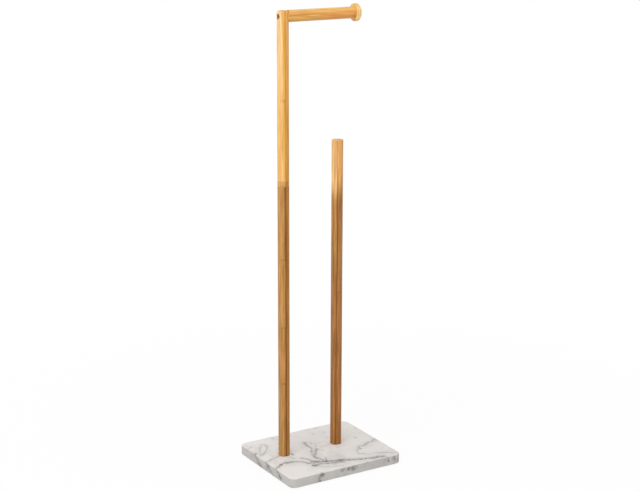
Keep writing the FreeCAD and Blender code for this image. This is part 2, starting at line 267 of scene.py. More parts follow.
    def cells(self, vector: Socket, scale: float) -> tuple[Socket, Socket]:
        """Adds a pattern of cells.

        Args:
            vector: Where it is read.
            scale: Cells for each metre.

        Returns:
            Distance to the nearest cell's middle, and a number from 0 to 1 of that cell's own.
        """
        inputs = {"Vector": vector, "Scale": scale}
        made = self.node("ShaderNodeTexVoronoi", inputs, feature="F1", voronoi_dimensions="3D")
        return made.outputs["Distance"], self.split(made.outputs["Color"])[0]

    def seen(self) -> Socket:
        """Finds the rays that show a backdrop to the eye, straight, mirrored or through glass.

        Returns:
            1 for such a ray and 0 for others.
        """
        path = self.node("ShaderNodeLightPath", {}).outputs
        mirrored = self.math("MAXIMUM", path["Is Camera Ray"], path["Is Glossy Ray"])
        return self.math("MAXIMUM", mirrored, path["Is Transmission Ray"])


class SurfaceGraph(Graph):
    """The nodes of one material, with a surface point's place and normal in the object's own frame."""

    def __init__(self, name: str) -> None:
        """Starts a material.

        Args:
            name: The material's name.
        """
        self.material = bpy.data.materials.new(name)
        self.material.use_nodes = True
        super().__init__(self.material.node_tree)
        own = self.node("ShaderNodeTexCoord", {}).outputs
        self.place = own["Object"]
        self.normal = own["Normal"]

    def end(self, shader: Socket) -> bpy.types.Material:
        """The material, finished with a shader."""
        self.node("ShaderNodeOutputMaterial", {"Surface": shader})
        return self.material

    def surface(
        self, colour: Any, roughness: Any, relief: Socket, height: float, **gloss: float
    ) -> bpy.types.Material:
        """Finishes the material as a shaded surface with a bump.

        Args:
            colour: Base colour.
            roughness: Base roughness.
            relief: Height field of the bump, from 0 to 1.
            height: Height of the bump.
            gloss: Other values of the shader, by name.

        Returns:
            The finished material.
        """
        bump = self.node("ShaderNodeBump", {"Strength": 1.0, "Distance": height, "Height": relief})
        inputs = {"Base Color": colour, "Roughness": roughness, "Normal": bump.outputs[0], **gloss}
        return self.end(self.node("ShaderNodeBsdfPrincipled", inputs).outputs[0])


class GrainRun(Enum):
    """Turn, in degrees, that brings a piece's grain to local Z and its strips' faces to local X."""

    UPRIGHT = (0.0, 0.0, 0.0)
    ALONG_ARM = (0.0, -90.0, 0.0)
    ACROSS_DISC = (0.0, 0.0, -90.0)

    def turn(self) -> Euler:
        """The turn, in radians."""
        return Euler([math.radians(angle) for angle in self.value])

    def origin(self, node: str) -> Vector:
        """Point from which a piece's strips are measured, on its axis.

        Args:
            node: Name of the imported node.

        Returns:
            The low end of the grain, or the middle of a disc.
        """
        low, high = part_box(node)
        point = (low + high) / 2
        if self is GrainRun.UPRIGHT:
            point.z = low.z
        elif self is GrainRun.ALONG_ARM:
            point.x = low.x
        return point


@dataclass(frozen=True)
class ToneBand:
    """A band of another tone along the grain. Some are streaks in the wood, some are painted highlights and
    painted shade.

    Attributes:
        middle: Place of its middle across the grain.
        half_width: Half of its width.
        strength: How strong it is, 0 to 1.
        tone: Its tone.
        start: Where along the grain it starts to show.
        full: Where along the grain it shows in full.
        slope: How much it slopes across the strips.
    """

    middle: float
    half_width: float
    strength: float
    tone: Srgb
    start: float
    full: float
    slope: float = 0.0


@dataclass(frozen=True)
class BambooFinish:
    """Bamboo strips glued face to face, turned round and lacquered.

    Places along the grain count from the piece's low end, and places across it from its axis.

    Attributes:
        name: The material's name.
        run: Which way the strips run.
        seed: Shift that gives the piece a grain of its own.
        first_seam: Place of the first glue line across the strips.
        strip: Thickness of a strip.
        high_tones: Tone of each strip at its high end.
        low_tones: Tone of each strip at its low end. On the posts it is darker, partly the bamboo's own tone
        and partly painted shade where the light falls off lower down.
        fade: Where along the grain the low tones end and the high tones start.
        high_deep: Tone of the hard fibres at the high end.
        low_deep: Tone of the hard fibres at the low end.
        amber: Tone of the warm ribbons in the grain.
        skins_first: Whether two hard outer skins meet at the first glue line, or else at the second.
        skin: How dark the strips are where two skins meet, 0 to 1.
        gold: How warm a strip grows towards its skin, 0 to 1.
        gold_rise: Where along the grain that warm wood starts to show, and where it shows in full.
        slope: How much the grain slopes across the strips.
        drift: How much the glue lines slope.
        streaks_and_painted_light: Bands of another tone, some streaks in the wood and some painted
            highlights and painted shade.
        knots: Node marks, each with its strip and its place along the grain.
        foot: Where along the grain the tint of the low end starts to fade, and where it ends.
        foot_tint: Share of red, green and blue that the low end keeps. On the posts this darkening is partly
        the bamboo's own tone and partly painted shade where the light falls off lower down.
        wander: How far the glue lines wander to each side.
        end_shade: How much darker the cut end of the grain is, below 0 if it is paler.
        figure: Contrast of the broad grain, 1 for most.
        flecks: Contrast of the short flecks, 1 for most.
        bore: Distance from the axis inside which wood is a bore's wall, and its range along the grain. The
        wall gets painted shade.
    """

    name: str
    run: GrainRun
    seed: float
    first_seam: float
    strip: float
    high_tones: tuple[Srgb, ...]
    low_tones: tuple[Srgb, ...]
    fade: Pair
    high_deep: Srgb
    low_deep: Srgb
    amber: Srgb
    skins_first: bool = True
    skin: float = 0.6
    gold: float = 0.0
    gold_rise: Pair = (-MM, 0.0)
    slope: float = 0.0
    drift: float = 0.0
    streaks_and_painted_light: tuple[ToneBand, ...] = ()
    knots: tuple[tuple[int, float], ...] = ()
    foot: Pair = (0.0, MM)
    foot_tint: Point = (1.0, 1.0, 1.0)
    wander: float = 0.5 * MM
    end_shade: float = 0.06
    figure: float = 1.0
    flecks: float = 1.0
    bore: Point | None = None

    # A span is where a smooth step starts and where it ends. Other pairs are the ends of a range.
    WANDER_WAVES: ClassVar[Waves] = Waves(9.0)
    STRIP_SHIFT: ClassVar[float] = 0.137
    LONG_STRETCH: ClassVar[float] = 0.012
    SHORT_STRETCH: ClassVar[float] = 0.05
    BROAD: ClassVar[Patches] = Patches(Waves(330.0, 3.0, 0.6), (0.40, 0.78), 0.24)
    FINE: ClassVar[Patches] = Patches(Waves(1500.0, 3.0, 0.6), (0.42, 0.75), 0.22)
    RIBBON: ClassVar[Patches] = Patches(Waves(260.0), (0.46, 0.66), 0.3)
    PALE_SPAN: ClassVar[Pair] = (0.30, 0.48)
    PALE_SHARE: ClassVar[float] = 0.35
    PALE_TINT: ClassVar[Point] = (1.10, 1.09, 1.07)
    FIBRE_CELLS: ClassVar[float] = 1300.0
    FIBRE_RADIUS: ClassVar[Pair] = (0.12, 0.34)
    FIBRE_CHOICE: ClassVar[Pair] = (0.35, 0.8)
    # How dark a fibre is away from a skin, and in it.
    FIBRE_DARK: ClassVar[Pair] = (0.20, 0.42)
    SEAM_SPAN: ClassVar[Pair] = (0.06 * MM, 0.3 * MM)
    SEAM_DARK: ClassVar[float] = 0.2
    SKIN_BEFORE: ClassVar[Pair] = (0.0, 2.8 * MM)
    SKIN_AFTER: ClassVar[Pair] = (0.0, 2.0 * MM)
    GOLD_SPAN: ClassVar[Pair] = (1.8 * MM, 6.0 * MM)
    BAND_WAVE: ClassVar[float] = 1.4
    BAND_CORE: ClassVar[float] = 0.3
    KNOT_WAVES: ClassVar[Waves] = Waves(300.0, 3.0)
    KNOT_RIPPLE: ClassVar[float] = 8.0 * MM
    KNOT_SPAN: ClassVar[Pair] = (0.0, 2.4 * MM)
    KNOT_DARK: ClassVar[float] = 0.36
    SAME_STRIP: ClassVar[float] = 0.1
    END_FACING: ClassVar[Pair] = (0.6, 0.9)
    HUE: ClassVar[Patches] = Patches(Waves(13.0), (0.35, 0.65))
    HUE_COOL: ClassVar[Point] = (0.985, 1.012, 0.99)
    HUE_WARM: ClassVar[Point] = (1.015, 0.988, 0.99)
    FLECK_WAVES: ClassVar[Waves] = Waves(420.0, 2.0, 0.55)
    FLECK_HALF: ClassVar[float] = 0.26
    FLECK_DARK: ClassVar[Point] = (0.74, 0.68, 0.50)
    FLECK_PALE: ClassVar[Point] = (1.26, 1.32, 1.50)
    BORE_RIM: ClassVar[float] = 0.5 * MM
    # Painted shade on the wall of a bore.
    BORE_SHADE: ClassVar[Point] = (0.75, 0.69, 0.60)
    ROUGHNESS: ClassVar[Pair] = (0.36, 0.52)
    GROOVE: ClassVar[float] = -0.4
    RELIEF: ClassVar[float] = 0.05 * MM
    LACQUER: ClassVar[dict[str, float]] = {
        "Coat Weight": 0.04,
        "Coat Roughness": 0.28,
        "Specular IOR Level": 0.22,
    }

    def material(self, node: str) -> bpy.types.Material:
        """Builds the material.

        Args:
            node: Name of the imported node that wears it.

        Returns:
            The material, for that node alone.
        """
        graph = SurfaceGraph(self.name)
        turn = self.run.turn()
        local = graph.mapped(graph.place, turn, -(turn.to_matrix() @ self.run.origin(node)))
        across, aside, along = graph.split(local)
        wander = graph.ranged(graph.noise(local, self.WANDER_WAVES), (-self.wander, self.wander))
        across = graph.math("ADD", across, wander)
        drifted = graph.math("MULTIPLY_ADD", along, -self.drift, across)
        count = graph.math("MULTIPLY_ADD", drifted, 1 / self.strip, 1 - self.first_seam / self.strip)
        index = graph.math("FLOOR", count)
        # On the posts the low tones are darker: partly own tone, partly painted shade where the light falls
        # off lower down.
        high_share = graph.step(along, self.fade)

        sloped = graph.math("MULTIPLY_ADD", along, self.slope, across)
        shift = graph.math("MULTIPLY_ADD", index, self.STRIP_SHIFT, graph.math("ADD", sloped, self.seed))
        drawn_long = graph.join(shift, aside, graph.math("MULTIPLY", along, self.LONG_STRETCH))
        drawn_short = graph.join(shift, aside, graph.math("MULTIPLY", along, self.SHORT_STRETCH))
        broad = graph.noise(drawn_long, self.BROAD.waves)
        fine = graph.noise(drawn_long, self.FINE.waves)
        ribbon = graph.noise(drawn_short, self.RIBBON.waves)
        reach, own = graph.cells(drawn_short, self.FIBRE_CELLS)
        chosen = graph.step(own, self.FIBRE_CHOICE)
        fibre = graph.math("MULTIPLY", graph.step(reach, self.FIBRE_RADIUS, 1.0, 0.0), chosen)

        seam, skin, gold = self.skin_marks(graph, count)
        facing = graph.split(graph.mapped(graph.normal, turn, Vector()))[2]
        end = graph.step(graph.math("ABSOLUTE", facing), self.END_FACING)
        knot = self.knot_marks(graph, index, along, graph.noise(local, self.KNOT_WAVES))
        hard = graph.math("MULTIPLY", fibre, graph.ranged(skin, self.FIBRE_DARK))
        for mark, dark in (
            (graph.step(fine, self.FINE.span), self.FINE.share),
            (graph.step(broad, self.BROAD.span), self.figure * self.BROAD.share),
            (skin, self.skin),
            (seam, self.SEAM_DARK),
            (end, self.end_shade),
            (knot, self.KNOT_DARK),
        ):
            hard = graph.math("MULTIPLY_ADD", mark, dark, hard)

        gold = graph.math("MULTIPLY", gold, graph.step(along, self.gold_rise))
        warm = graph.math("MAXIMUM", gold, graph.step(ribbon, self.RIBBON.span, 0.0, self.RIBBON.share))
        tone = graph.blend(warm, self.strip_tone(graph, index, high_share), linear(self.amber))
        tone = self.banded(graph, tone, across, along, ribbon)
        deep = graph.blend(high_share, linear(self.low_deep), linear(self.high_deep))
        colour = graph.blend(hard, tone, deep)
        pale = graph.step(broad, self.PALE_SPAN, self.PALE_SHARE * self.figure, 0.0)
        colour = graph.tinted(colour, pale, self.PALE_TINT)
        hue = graph.patches(graph.join(self.seed, 0.0, along), self.HUE)
        colour = graph.tinted(colour, hue, self.HUE_WARM, self.HUE_COOL)
        half = self.FLECK_HALF / self.flecks
        fleck = graph.step(graph.noise(drawn_short, self.FLECK_WAVES), (0.5 - half, 0.5 + half))
        colour = graph.tinted(colour, fleck, self.FLECK_PALE, self.FLECK_DARK)
        # Darker low end: on the posts partly own tone, partly painted shade where the light falls off lower
        # down.
        colour = graph.tinted(colour, graph.step(along, self.foot, 1.0, 0.0), self.foot_tint)
        # Painted shade on the wall of the screw's recess.
        if self.bore is not None:
            colour = graph.tinted(colour, self.bore_wall(graph, across, aside, along), self.BORE_SHADE)

        relief = graph.math("MULTIPLY_ADD", fibre, self.GROOVE, fine)
        relief = graph.math("MULTIPLY_ADD", seam, self.GROOVE, relief)
        roughness = graph.ranged(fine, self.ROUGHNESS)
        return graph.surface(colour, roughness, relief, self.RELIEF, **self.LACQUER)

    def strip_tone(self, graph: Graph, index: Socket, high_share: Socket) -> Socket:
        """Adds the plain tone of each strip.

        Args:
            graph: The material's graph.
            index: Number of the strip.
            high_share: Share of the high end's tones.

        Returns:
            The tone.
        """
        strips = len(self.high_tones)
        pick = graph.math("MULTIPLY_ADD", index, 1 / strips, 0.5 / strips)
        return graph.blend(high_share, graph.pick(pick, self.low_tones), graph.pick(pick, self.high_tones))

    def bore_wall(self, graph: Graph, across: Socket, aside: Socket, along: Socket) -> Socket:
        """Finds the wall of a bore in a round post, which is given painted shade.

        Args:
            graph: The material's graph.
            across: Place across the strips.
            aside: Place along the strips' faces.
            along: Place along the grain.

        Returns:
            1 on the wall and 0 elsewhere.
        """
        radius, low, high = self.bore
        out = graph.vector("LENGTH", graph.join(across, aside))
        inner = graph.step(out, (radius - self.BORE_RIM, radius), 1.0, 0.0)
        middle = (low + high) / 2
        reach = graph.math("ABSOLUTE", graph.math("SUBTRACT", along, middle))
        return graph.math("MULTIPLY", inner, graph.math("LESS_THAN", reach, high - middle))

    def skin_marks(self, graph: Graph, count: Socket) -> tuple[Socket, Socket, Socket]:
        """Adds the glue lines, with the dark skins and the warm wood beside every second one.

        Args:
            graph: The material's graph.
            count: Glue lines passed, a whole number at each line.

        Returns:
            Strength of the glue lines, of the skins and of the warm wood, 0 to 1.
        """
        seam_reach = graph.math("MULTIPLY", graph.math("PINGPONG", count, 0.5), self.strip)
        seam = graph.step(seam_reach, self.SEAM_SPAN, 1.0, 0.0)
        first = 1.0 if self.skins_first else 2.0
        turns = graph.math("WRAP", graph.math("SUBTRACT", count, first), 1.0, -1.0)
        past = graph.math("MULTIPLY", turns, self.strip)
        short = graph.math("MULTIPLY", past, -1.0)
        skin = graph.step(short, self.SKIN_BEFORE, 1.0, 0.0)
        skin = graph.math("MULTIPLY", skin, graph.step(past, self.SKIN_AFTER, 1.0, 0.0))
        gold = graph.step(short, self.GOLD_SPAN, self.gold, 0.0)
        gold = graph.math("MULTIPLY", gold, graph.math("GREATER_THAN", short, 0.0))
        return seam, skin, gold

    def banded(
        self, graph: Graph, tone: Socket, across: Socket, along: Socket, ribbon: Socket
    ) -> Socket:
        """Adds the bands: streaks in the wood, and painted highlights and painted shade.

        Args:
            graph: The material's graph.
            tone: Tone of the strips.
            across: Place across the strips.
            along: Place along the grain.
            ribbon: Noise drawn out along the grain, which makes the bands wavy.

        Returns:
            The tone with the streaks.
        """
        for band_of_tone in self.streaks_and_painted_light:
            wave = band_of_tone.half_width * self.BAND_WAVE
            sloped = graph.math("MULTIPLY_ADD", along, band_of_tone.slope, across)
            centred = graph.math("ADD", sloped, -wave / 2 - band_of_tone.middle)
            reach = graph.math("ABSOLUTE", graph.math("MULTIPLY_ADD", ribbon, wave, centred))
            span = (self.BAND_CORE * band_of_tone.half_width, band_of_tone.half_width)
            band = graph.step(reach, span, band_of_tone.strength, 0.0)
            share = graph.math("MULTIPLY", band, graph.step(along, (band_of_tone.start, band_of_tone.full)))
            tone = graph.blend(share, tone, linear(band_of_tone.tone))
        return tone

    def knot_marks(self, graph: Graph, index: Socket, along: Socket, ripple: Socket) -> Any:
        """Adds the thin wavy bands where the bamboo had its nodes.

        Args:
            graph: The material's graph.
            index: Number of the strip.
            along: Place along the grain.
            ripple: Noise that makes the bands wavy.

        Returns:
            Strength of the marks, 0 to 1.
        """
        total: Any = 0.0
        waved = graph.math("MULTIPLY_ADD", ripple, self.KNOT_RIPPLE, along)
        for strip, height in self.knots:
            reach = graph.math("SUBTRACT", waved, height + self.KNOT_RIPPLE / 2)
            band = graph.step(graph.math("ABSOLUTE", reach), self.KNOT_SPAN, 1.0, 0.0)
            here = graph.math("COMPARE", index, float(strip), self.SAME_STRIP)
            total = graph.math("MULTIPLY_ADD", band, here, total)
        return total


@dataclass(frozen=True)
class Vein:
    """A grey vein in the stone.

    Attributes:
        path: Points on the slab's top, in millimetres from its centre.
        width: Half of its usual width, in millimetres.
        strength: How dark it is, 0 to 1.
        lean: How far it moves aside for each unit of depth.
    """

    path: tuple[Pair, ...]
    width: float
    strength: float
    lean: float = 0.0


@dataclass(frozen=True)
class Blot:
    """A grey smudge in the stone.

    Attributes:
        place: Its middle, in millimetres from the slab's centre and up from its top.
        reach: Its half sizes, in millimetres.
        strength: How dark it is, 0 to 1.
    """

    place: Point
    reach: Point
    strength: float


@dataclass(frozen=True)
class MarbleFinish:
    """Honed white marble with grey veins.

    Attributes:
        name: The material's name.
        white: Tone of the clear stone.
        cloud: Tone of its clouds.
        vein_grey: Tone of the veins.
        side_shade_share: How bright the upright sides are beside the honed top, a painted shade on the
            sides.
        veins: The veins.
        blots: The smudges.
    """

    name: str
    white: Srgb
    cloud: Srgb
    vein_grey: Srgb
    side_shade_share: float
    veins: tuple[Vein, ...]
    blots: tuple[Blot, ...]

    # A span is where a smooth step starts and where it ends. Other pairs are the ends of a range.
    BROAD_WARP: ClassVar[tuple[Waves, float]] = (Waves(60.0), 7.0 * MM)
    FINE_WARP: ClassVar[tuple[Waves, float]] = (Waves(260.0), 3.0 * MM)
    BROKEN: ClassVar[Waves] = Waves(170.0, 4.0, 0.65)
    BLOT_BREAK: ClassVar[Pair] = (0.34, 0.60)
    BLOT_LEAST: ClassVar[float] = 0.3
    BLOT_SPAN: ClassVar[Pair] = (0.25, 1.1)
    VEIN_BREAK: ClassVar[Pair] = (0.25, 0.62)
    VEIN_LEAST: ClassVar[float] = 0.35
    SWELL: ClassVar[Waves] = Waves(60.0, 3.0)
    SWELL_WIDTHS: ClassVar[Pair] = (-0.3, 3.3)
    THINNEST: ClassVar[float] = 0.25 * MM
    CORE_SPAN: ClassVar[Pair] = (0.1, 1.0)
    HALO_SPAN: ClassVar[Pair] = (0.0, 4.5)
    HALO_DARK: ClassVar[float] = 0.22
    END_FADE: ClassVar[float] = 0.06
    CLOUDS: ClassVar[Patches] = Patches(Waves(16.0, 5.0, 0.55), (0.42, 0.72), 0.6)
    CRACKS: ClassVar[Waves] = Waves(21.0, 5.0, 0.6)
    CRACK_SPAN: ClassVar[Pair] = (0.002, 0.016)
    CRACKED: ClassVar[Patches] = Patches(Waves(28.0), (0.48, 0.66), 0.35)
    PITS: ClassVar[Patches] = Patches(Waves(480.0), (0.68, 0.76))
    PIT_DARK: ClassVar[float] = 0.12
    PIT_SINK: ClassVar[float] = -0.6
    GRAIN: ClassVar[Waves] = Waves(1400.0)
    GRAIN_RELIEF: ClassVar[Pair] = (0.6, 0.8)
    SPARKLE: ClassVar[Pair] = (0.95, 1.05)
    SIDE_FACING: ClassVar[Pair] = (0.1, 0.9)
    ROUGHNESS: ClassVar[Pair] = (0.46, 0.62)
    RELIEF: ClassVar[float] = 0.06 * MM
    POLISH: ClassVar[dict[str, float]] = {"Specular IOR Level": 0.12}

    def material(self, top: float) -> bpy.types.Material:
        """Builds the material.

        Args:
            top: Height of the slab's top.

        Returns:
            The material, for the slab.
        """
        graph = SurfaceGraph(self.name)
        place = graph.place
        warped = graph.warped(graph.warped(place, *self.BROAD_WARP), *self.FINE_WARP)
        sunk = graph.vector("SUBTRACT", warped, (0.0, 0.0, top))
        swell = graph.noise(place, self.SWELL)
        broken = graph.noise(place, self.BROKEN)
        smudge: Any = 0.0
        for blot in self.blots:
            smudge = graph.math("MAXIMUM", smudge, self.blot_shade(graph, sunk, blot))
        patchy = graph.step(broken, self.BLOT_BREAK, self.BLOT_LEAST, 1.0)
        shade = graph.math("MULTIPLY", smudge, patchy)
        uneven = graph.step(broken, self.VEIN_BREAK, self.VEIN_LEAST, 1.0)
        for vein in self.veins:
            shade = graph.math("MAXIMUM", shade, self.vein_shade(graph, sunk, swell, uneven, vein))

        off_crack = graph.math("SUBTRACT", graph.noise(warped, self.CRACKS), 0.5)
        crack = graph.step(graph.math("ABSOLUTE", off_crack), self.CRACK_SPAN, 1.0, 0.0)
        crack = graph.math("MULTIPLY", crack, graph.patches(place, self.CRACKED))
        grain = graph.noise(place, self.GRAIN)
        pit = graph.patches(place, self.PITS)
        shade = graph.math("MULTIPLY_ADD", pit, self.PIT_DARK, graph.math("MAXIMUM", shade, crack))
        cloud = graph.patches(warped, self.CLOUDS)
        colour = graph.blend(cloud, linear(self.white), linear(self.cloud))
        colour = graph.blend(shade, colour, linear(self.vein_grey))
        level = graph.math("ABSOLUTE", graph.split(graph.normal)[2])
        # Painted shade: the upright sides are darker than the top.
        side_shade = graph.step(level, self.SIDE_FACING, self.side_shade_share, 1.0)
        bright = graph.math("MULTIPLY", graph.ranged(grain, self.SPARKLE), side_shade)
        colour = graph.blend(1.0, colour, graph.join(bright, bright, bright), "MULTIPLY")
        relief = graph.math("MULTIPLY_ADD", pit, self.PIT_SINK, graph.ranged(grain, self.GRAIN_RELIEF))
        roughness = graph.ranged(broken, self.ROUGHNESS)
        return graph.surface(colour, roughness, relief, self.RELIEF, **self.POLISH)

    def blot_shade(self, graph: Graph, place: Socket, blot: Blot) -> Socket:
        """Adds one smudge.

        Args:
            graph: The material's graph.
            place: Warped place of the surface point, from the top's centre.
            blot: The smudge.

        Returns:
            How dark the smudge makes the stone, 0 to 1.
        """
        size = tuple(1 / (part * MM) for part in blot.reach)
        shift = tuple(-part / reach for part, reach in zip(blot.place, blot.reach))
        length = graph.vector("LENGTH", graph.vector("MULTIPLY_ADD", place, size, shift))
        return graph.step(length, self.BLOT_SPAN, blot.strength, 0.0)

    def vein_shade(
        self, graph: Graph, place: Socket, swell: Socket, uneven: Socket, vein: Vein
    ) -> Socket:
        """Adds one vein, which leans through the stone from its path on the top.

        Args:
            graph: The material's graph.
            place: Warped place of the surface point, from the top's centre.
            swell: Noise that makes the vein wider and narrower.
            uneven: How dark its core is from place to place, 0 to 1.
            vein: The vein.

        Returns:
            How dark the vein makes the stone, 0 to 1.
        """
        points = [(Vector(point) * MM).to_3d() for point in vein.path]
        ahead = points[-1] - points[0]
        length = ahead.length
        ahead.normalize()
        left = Vector((-ahead.y, ahead.x, vein.lean))
        sides = [point.dot(left) for point in points]
        lowest = min(sides)
        spread = max(max(sides) - lowest, MM)
        along = graph.vector("DOT_PRODUCT", place, ahead)
        share = graph.math("MULTIPLY_ADD", along, 1 / length, -points[0].dot(ahead) / length)
        curve = graph.node("ShaderNodeFloatCurve", {"Value": share})
        curve.mapping.extend = "HORIZONTAL"
        marks = curve.mapping.curves[0].points
        for _ in points[2:]:
            marks.new(0.5, 0.5)
        for mark, point, side in zip(marks, points, sides):
            mark.location = ((point - points[0]).dot(ahead) / length, (side - lowest) / spread)
        curve.mapping.update()

        aside = graph.vector("DOT_PRODUCT", place, left)
        middle = graph.math("MULTIPLY_ADD", curve.outputs[0], spread, lowest)
        off = graph.math("ABSOLUTE", graph.math("SUBTRACT", aside, middle))
        thin, thick = self.SWELL_WIDTHS
        width = graph.ranged(swell, (thin * vein.width * MM, thick * vein.width * MM))
        relative = graph.math("DIVIDE", off, graph.math("MAXIMUM", width, self.THINNEST))
        core = graph.math("MULTIPLY", graph.step(relative, self.CORE_SPAN, 1.0, 0.0), uneven)
        dark = graph.math("MAXIMUM", core, graph.step(relative, self.HALO_SPAN, self.HALO_DARK, 0.0))
        starts = graph.step(share, (-self.END_FADE, self.END_FADE))
        ends = graph.step(share, (1 - self.END_FADE, 1 + self.END_FADE), vein.strength, 0.0)
        return graph.math("MULTIPLY", dark, graph.math("MULTIPLY", starts, ends))


@dataclass(frozen=True)
class PlainFinish:
    """Metal or rubber, with rubbed or dusty patches and a fine skin. The defaults are for metal.

    Attributes:
        name: The material's name.
        tone: Usual tone.
        patch_tone: Tone of the patches.
        roughness: Lowest and highest roughness.
        metallic: 1 for bare metal, less for an oxide skin.
        patches: Where the patches are.
        skin: Noise of the fine skin.
        relief: Height of the fine skin.
    """

    name: str
    tone: Srgb
    patch_tone: Srgb
    roughness: Pair
    metallic: float = 1.0
    patches: Patches = Patches(Waves(260.0, 3.0), (0.45, 0.75), 0.6)
    skin: Waves = Waves(2600.0)
    relief: float = 0.01 * MM

    def material(self) -> bpy.types.Material:
        """Builds the material.

        Returns:
            The material, for any number of pieces.
        """
        graph = SurfaceGraph(self.name)
        patch = graph.patches(graph.place, self.patches)
        colour = graph.blend(patch, linear(self.tone), linear(self.patch_tone))
        skin = graph.noise(graph.place, self.skin)
        roughness = graph.ranged(skin, self.roughness)
        return graph.surface(colour, roughness, skin, self.relief, Metallic=self.metallic)


@dataclass(frozen=True)
class DowelFinish:
    """Raw beech with short flecks along the grain, which runs along X.

    Attributes:
        name: The material's name.
        tone: Usual tone.
        fleck: Tone of the flecks.
    """

    name: str
    tone: Srgb
    fleck: Srgb

    STRETCH: ClassVar[Point] = (0.15, 1.0, 1.0)
    STREAKS: ClassVar[Waves] = Waves(1500.0, 3.0)
    FLECK_CELLS: ClassVar[float] = 1800.0
    FLECK_SPAN: ClassVar[Pair] = (0.15, 0.35)
    MARK_DARK: ClassVar[float] = 0.4
    ROUGHNESS: ClassVar[Pair] = (0.55, 0.75)
    RELIEF: ClassVar[float] = 0.04 * MM

    def material(self) -> bpy.types.Material:
        """Builds the material.

        Returns:
            The material, for the dowel.
        """
        graph = SurfaceGraph(self.name)
        drawn = graph.vector("MULTIPLY", graph.place, self.STRETCH)
        band_of_tone = graph.noise(drawn, self.STREAKS)
        fleck = graph.step(graph.cells(drawn, self.FLECK_CELLS)[0], self.FLECK_SPAN, 1.0, 0.0)
        shade = graph.math("MULTIPLY", graph.math("ADD", fleck, band_of_tone), self.MARK_DARK)
        colour = graph.blend(shade, linear(self.tone), linear(self.fleck))
        return graph.surface(colour, graph.ranged(band_of_tone, self.ROUGHNESS), band_of_tone, self.RELIEF)


@dataclass(frozen=True)
class FloorFinish:
    """Pale floor that reads white to the eye and keeps the stand's shadow near it.

    Attributes:
        name: The material's name.
        tone: The floor's own tone.
        near: Radius within which the shadow is kept.
        far: Radius past which the floor is plain white.
        lift: White added near the stand, 0 to 1.
    """

    name: str
    tone: Srgb
    near: float
    far: float
    lift: float

    WHITE: ClassVar[Srgb] = (255, 255, 255)
    MOTTLE: ClassVar[Waves] = Waves(30.0, 3.0)
    MOTTLE_SHARE: ClassVar[float] = 0.04

    def material(self) -> bpy.types.Material:
        """Builds the material.

        Returns:
            The material, for the floor.
        """
        graph = SurfaceGraph(self.name)
        mottle = graph.math("MULTIPLY", graph.noise(graph.place, self.MOTTLE), self.MOTTLE_SHARE)
        tone = graph.blend(mottle, linear(self.tone), linear(self.WHITE))
        matt = graph.node("ShaderNodeBsdfDiffuse", {"Color": tone}).outputs[0]
        white = graph.node("ShaderNodeEmission", {"Strength": 1.0}).outputs[0]
        away = graph.step(graph.vector("LENGTH", graph.place), (self.near, self.far), self.lift, 1.0)
        share = graph.math("MULTIPLY", graph.seen(), away)
        return graph.end(graph.node("ShaderNodeMixShader", {0: share, 1: matt, 2: white}).outputs[0])


def dress(node: bpy.types.Object, material: bpy.types.Material) -> None:
    """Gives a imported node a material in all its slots.

    Args:
        node: The node's object.
        material: The material.
    """
    for slot in node.material_slots:
        slot.material = material
    LOG.info("dressed %s in %s", node.name, material.name)


def smooth(mesh: bpy.types.Mesh) -> None:
    """Shades a mesh smooth and keeps its sharp edges."""
    mesh.shade_smooth()
    mesh.set_sharp_from_angle(angle=SHARP_ANGLE)


def new_piece(name: str, mesh: bpy.types.Mesh, material: bpy.types.Material) -> bpy.types.Object:
    """Adds a mesh to the scene as a piece at the origin.

    Args:
        name: The piece's name.
        mesh: Its mesh, in place.
        material: Its material.

    Returns:
        The piece.
    """
    mesh.name = name
    mesh.materials.clear()
    mesh.materials.append(material)
    piece = bpy.data.objects.new(name, mesh)
    bpy.context.scene.collection.objects.link(piece)
    LOG.info("made %s with %d faces", name, len(mesh.polygons))
    return piece


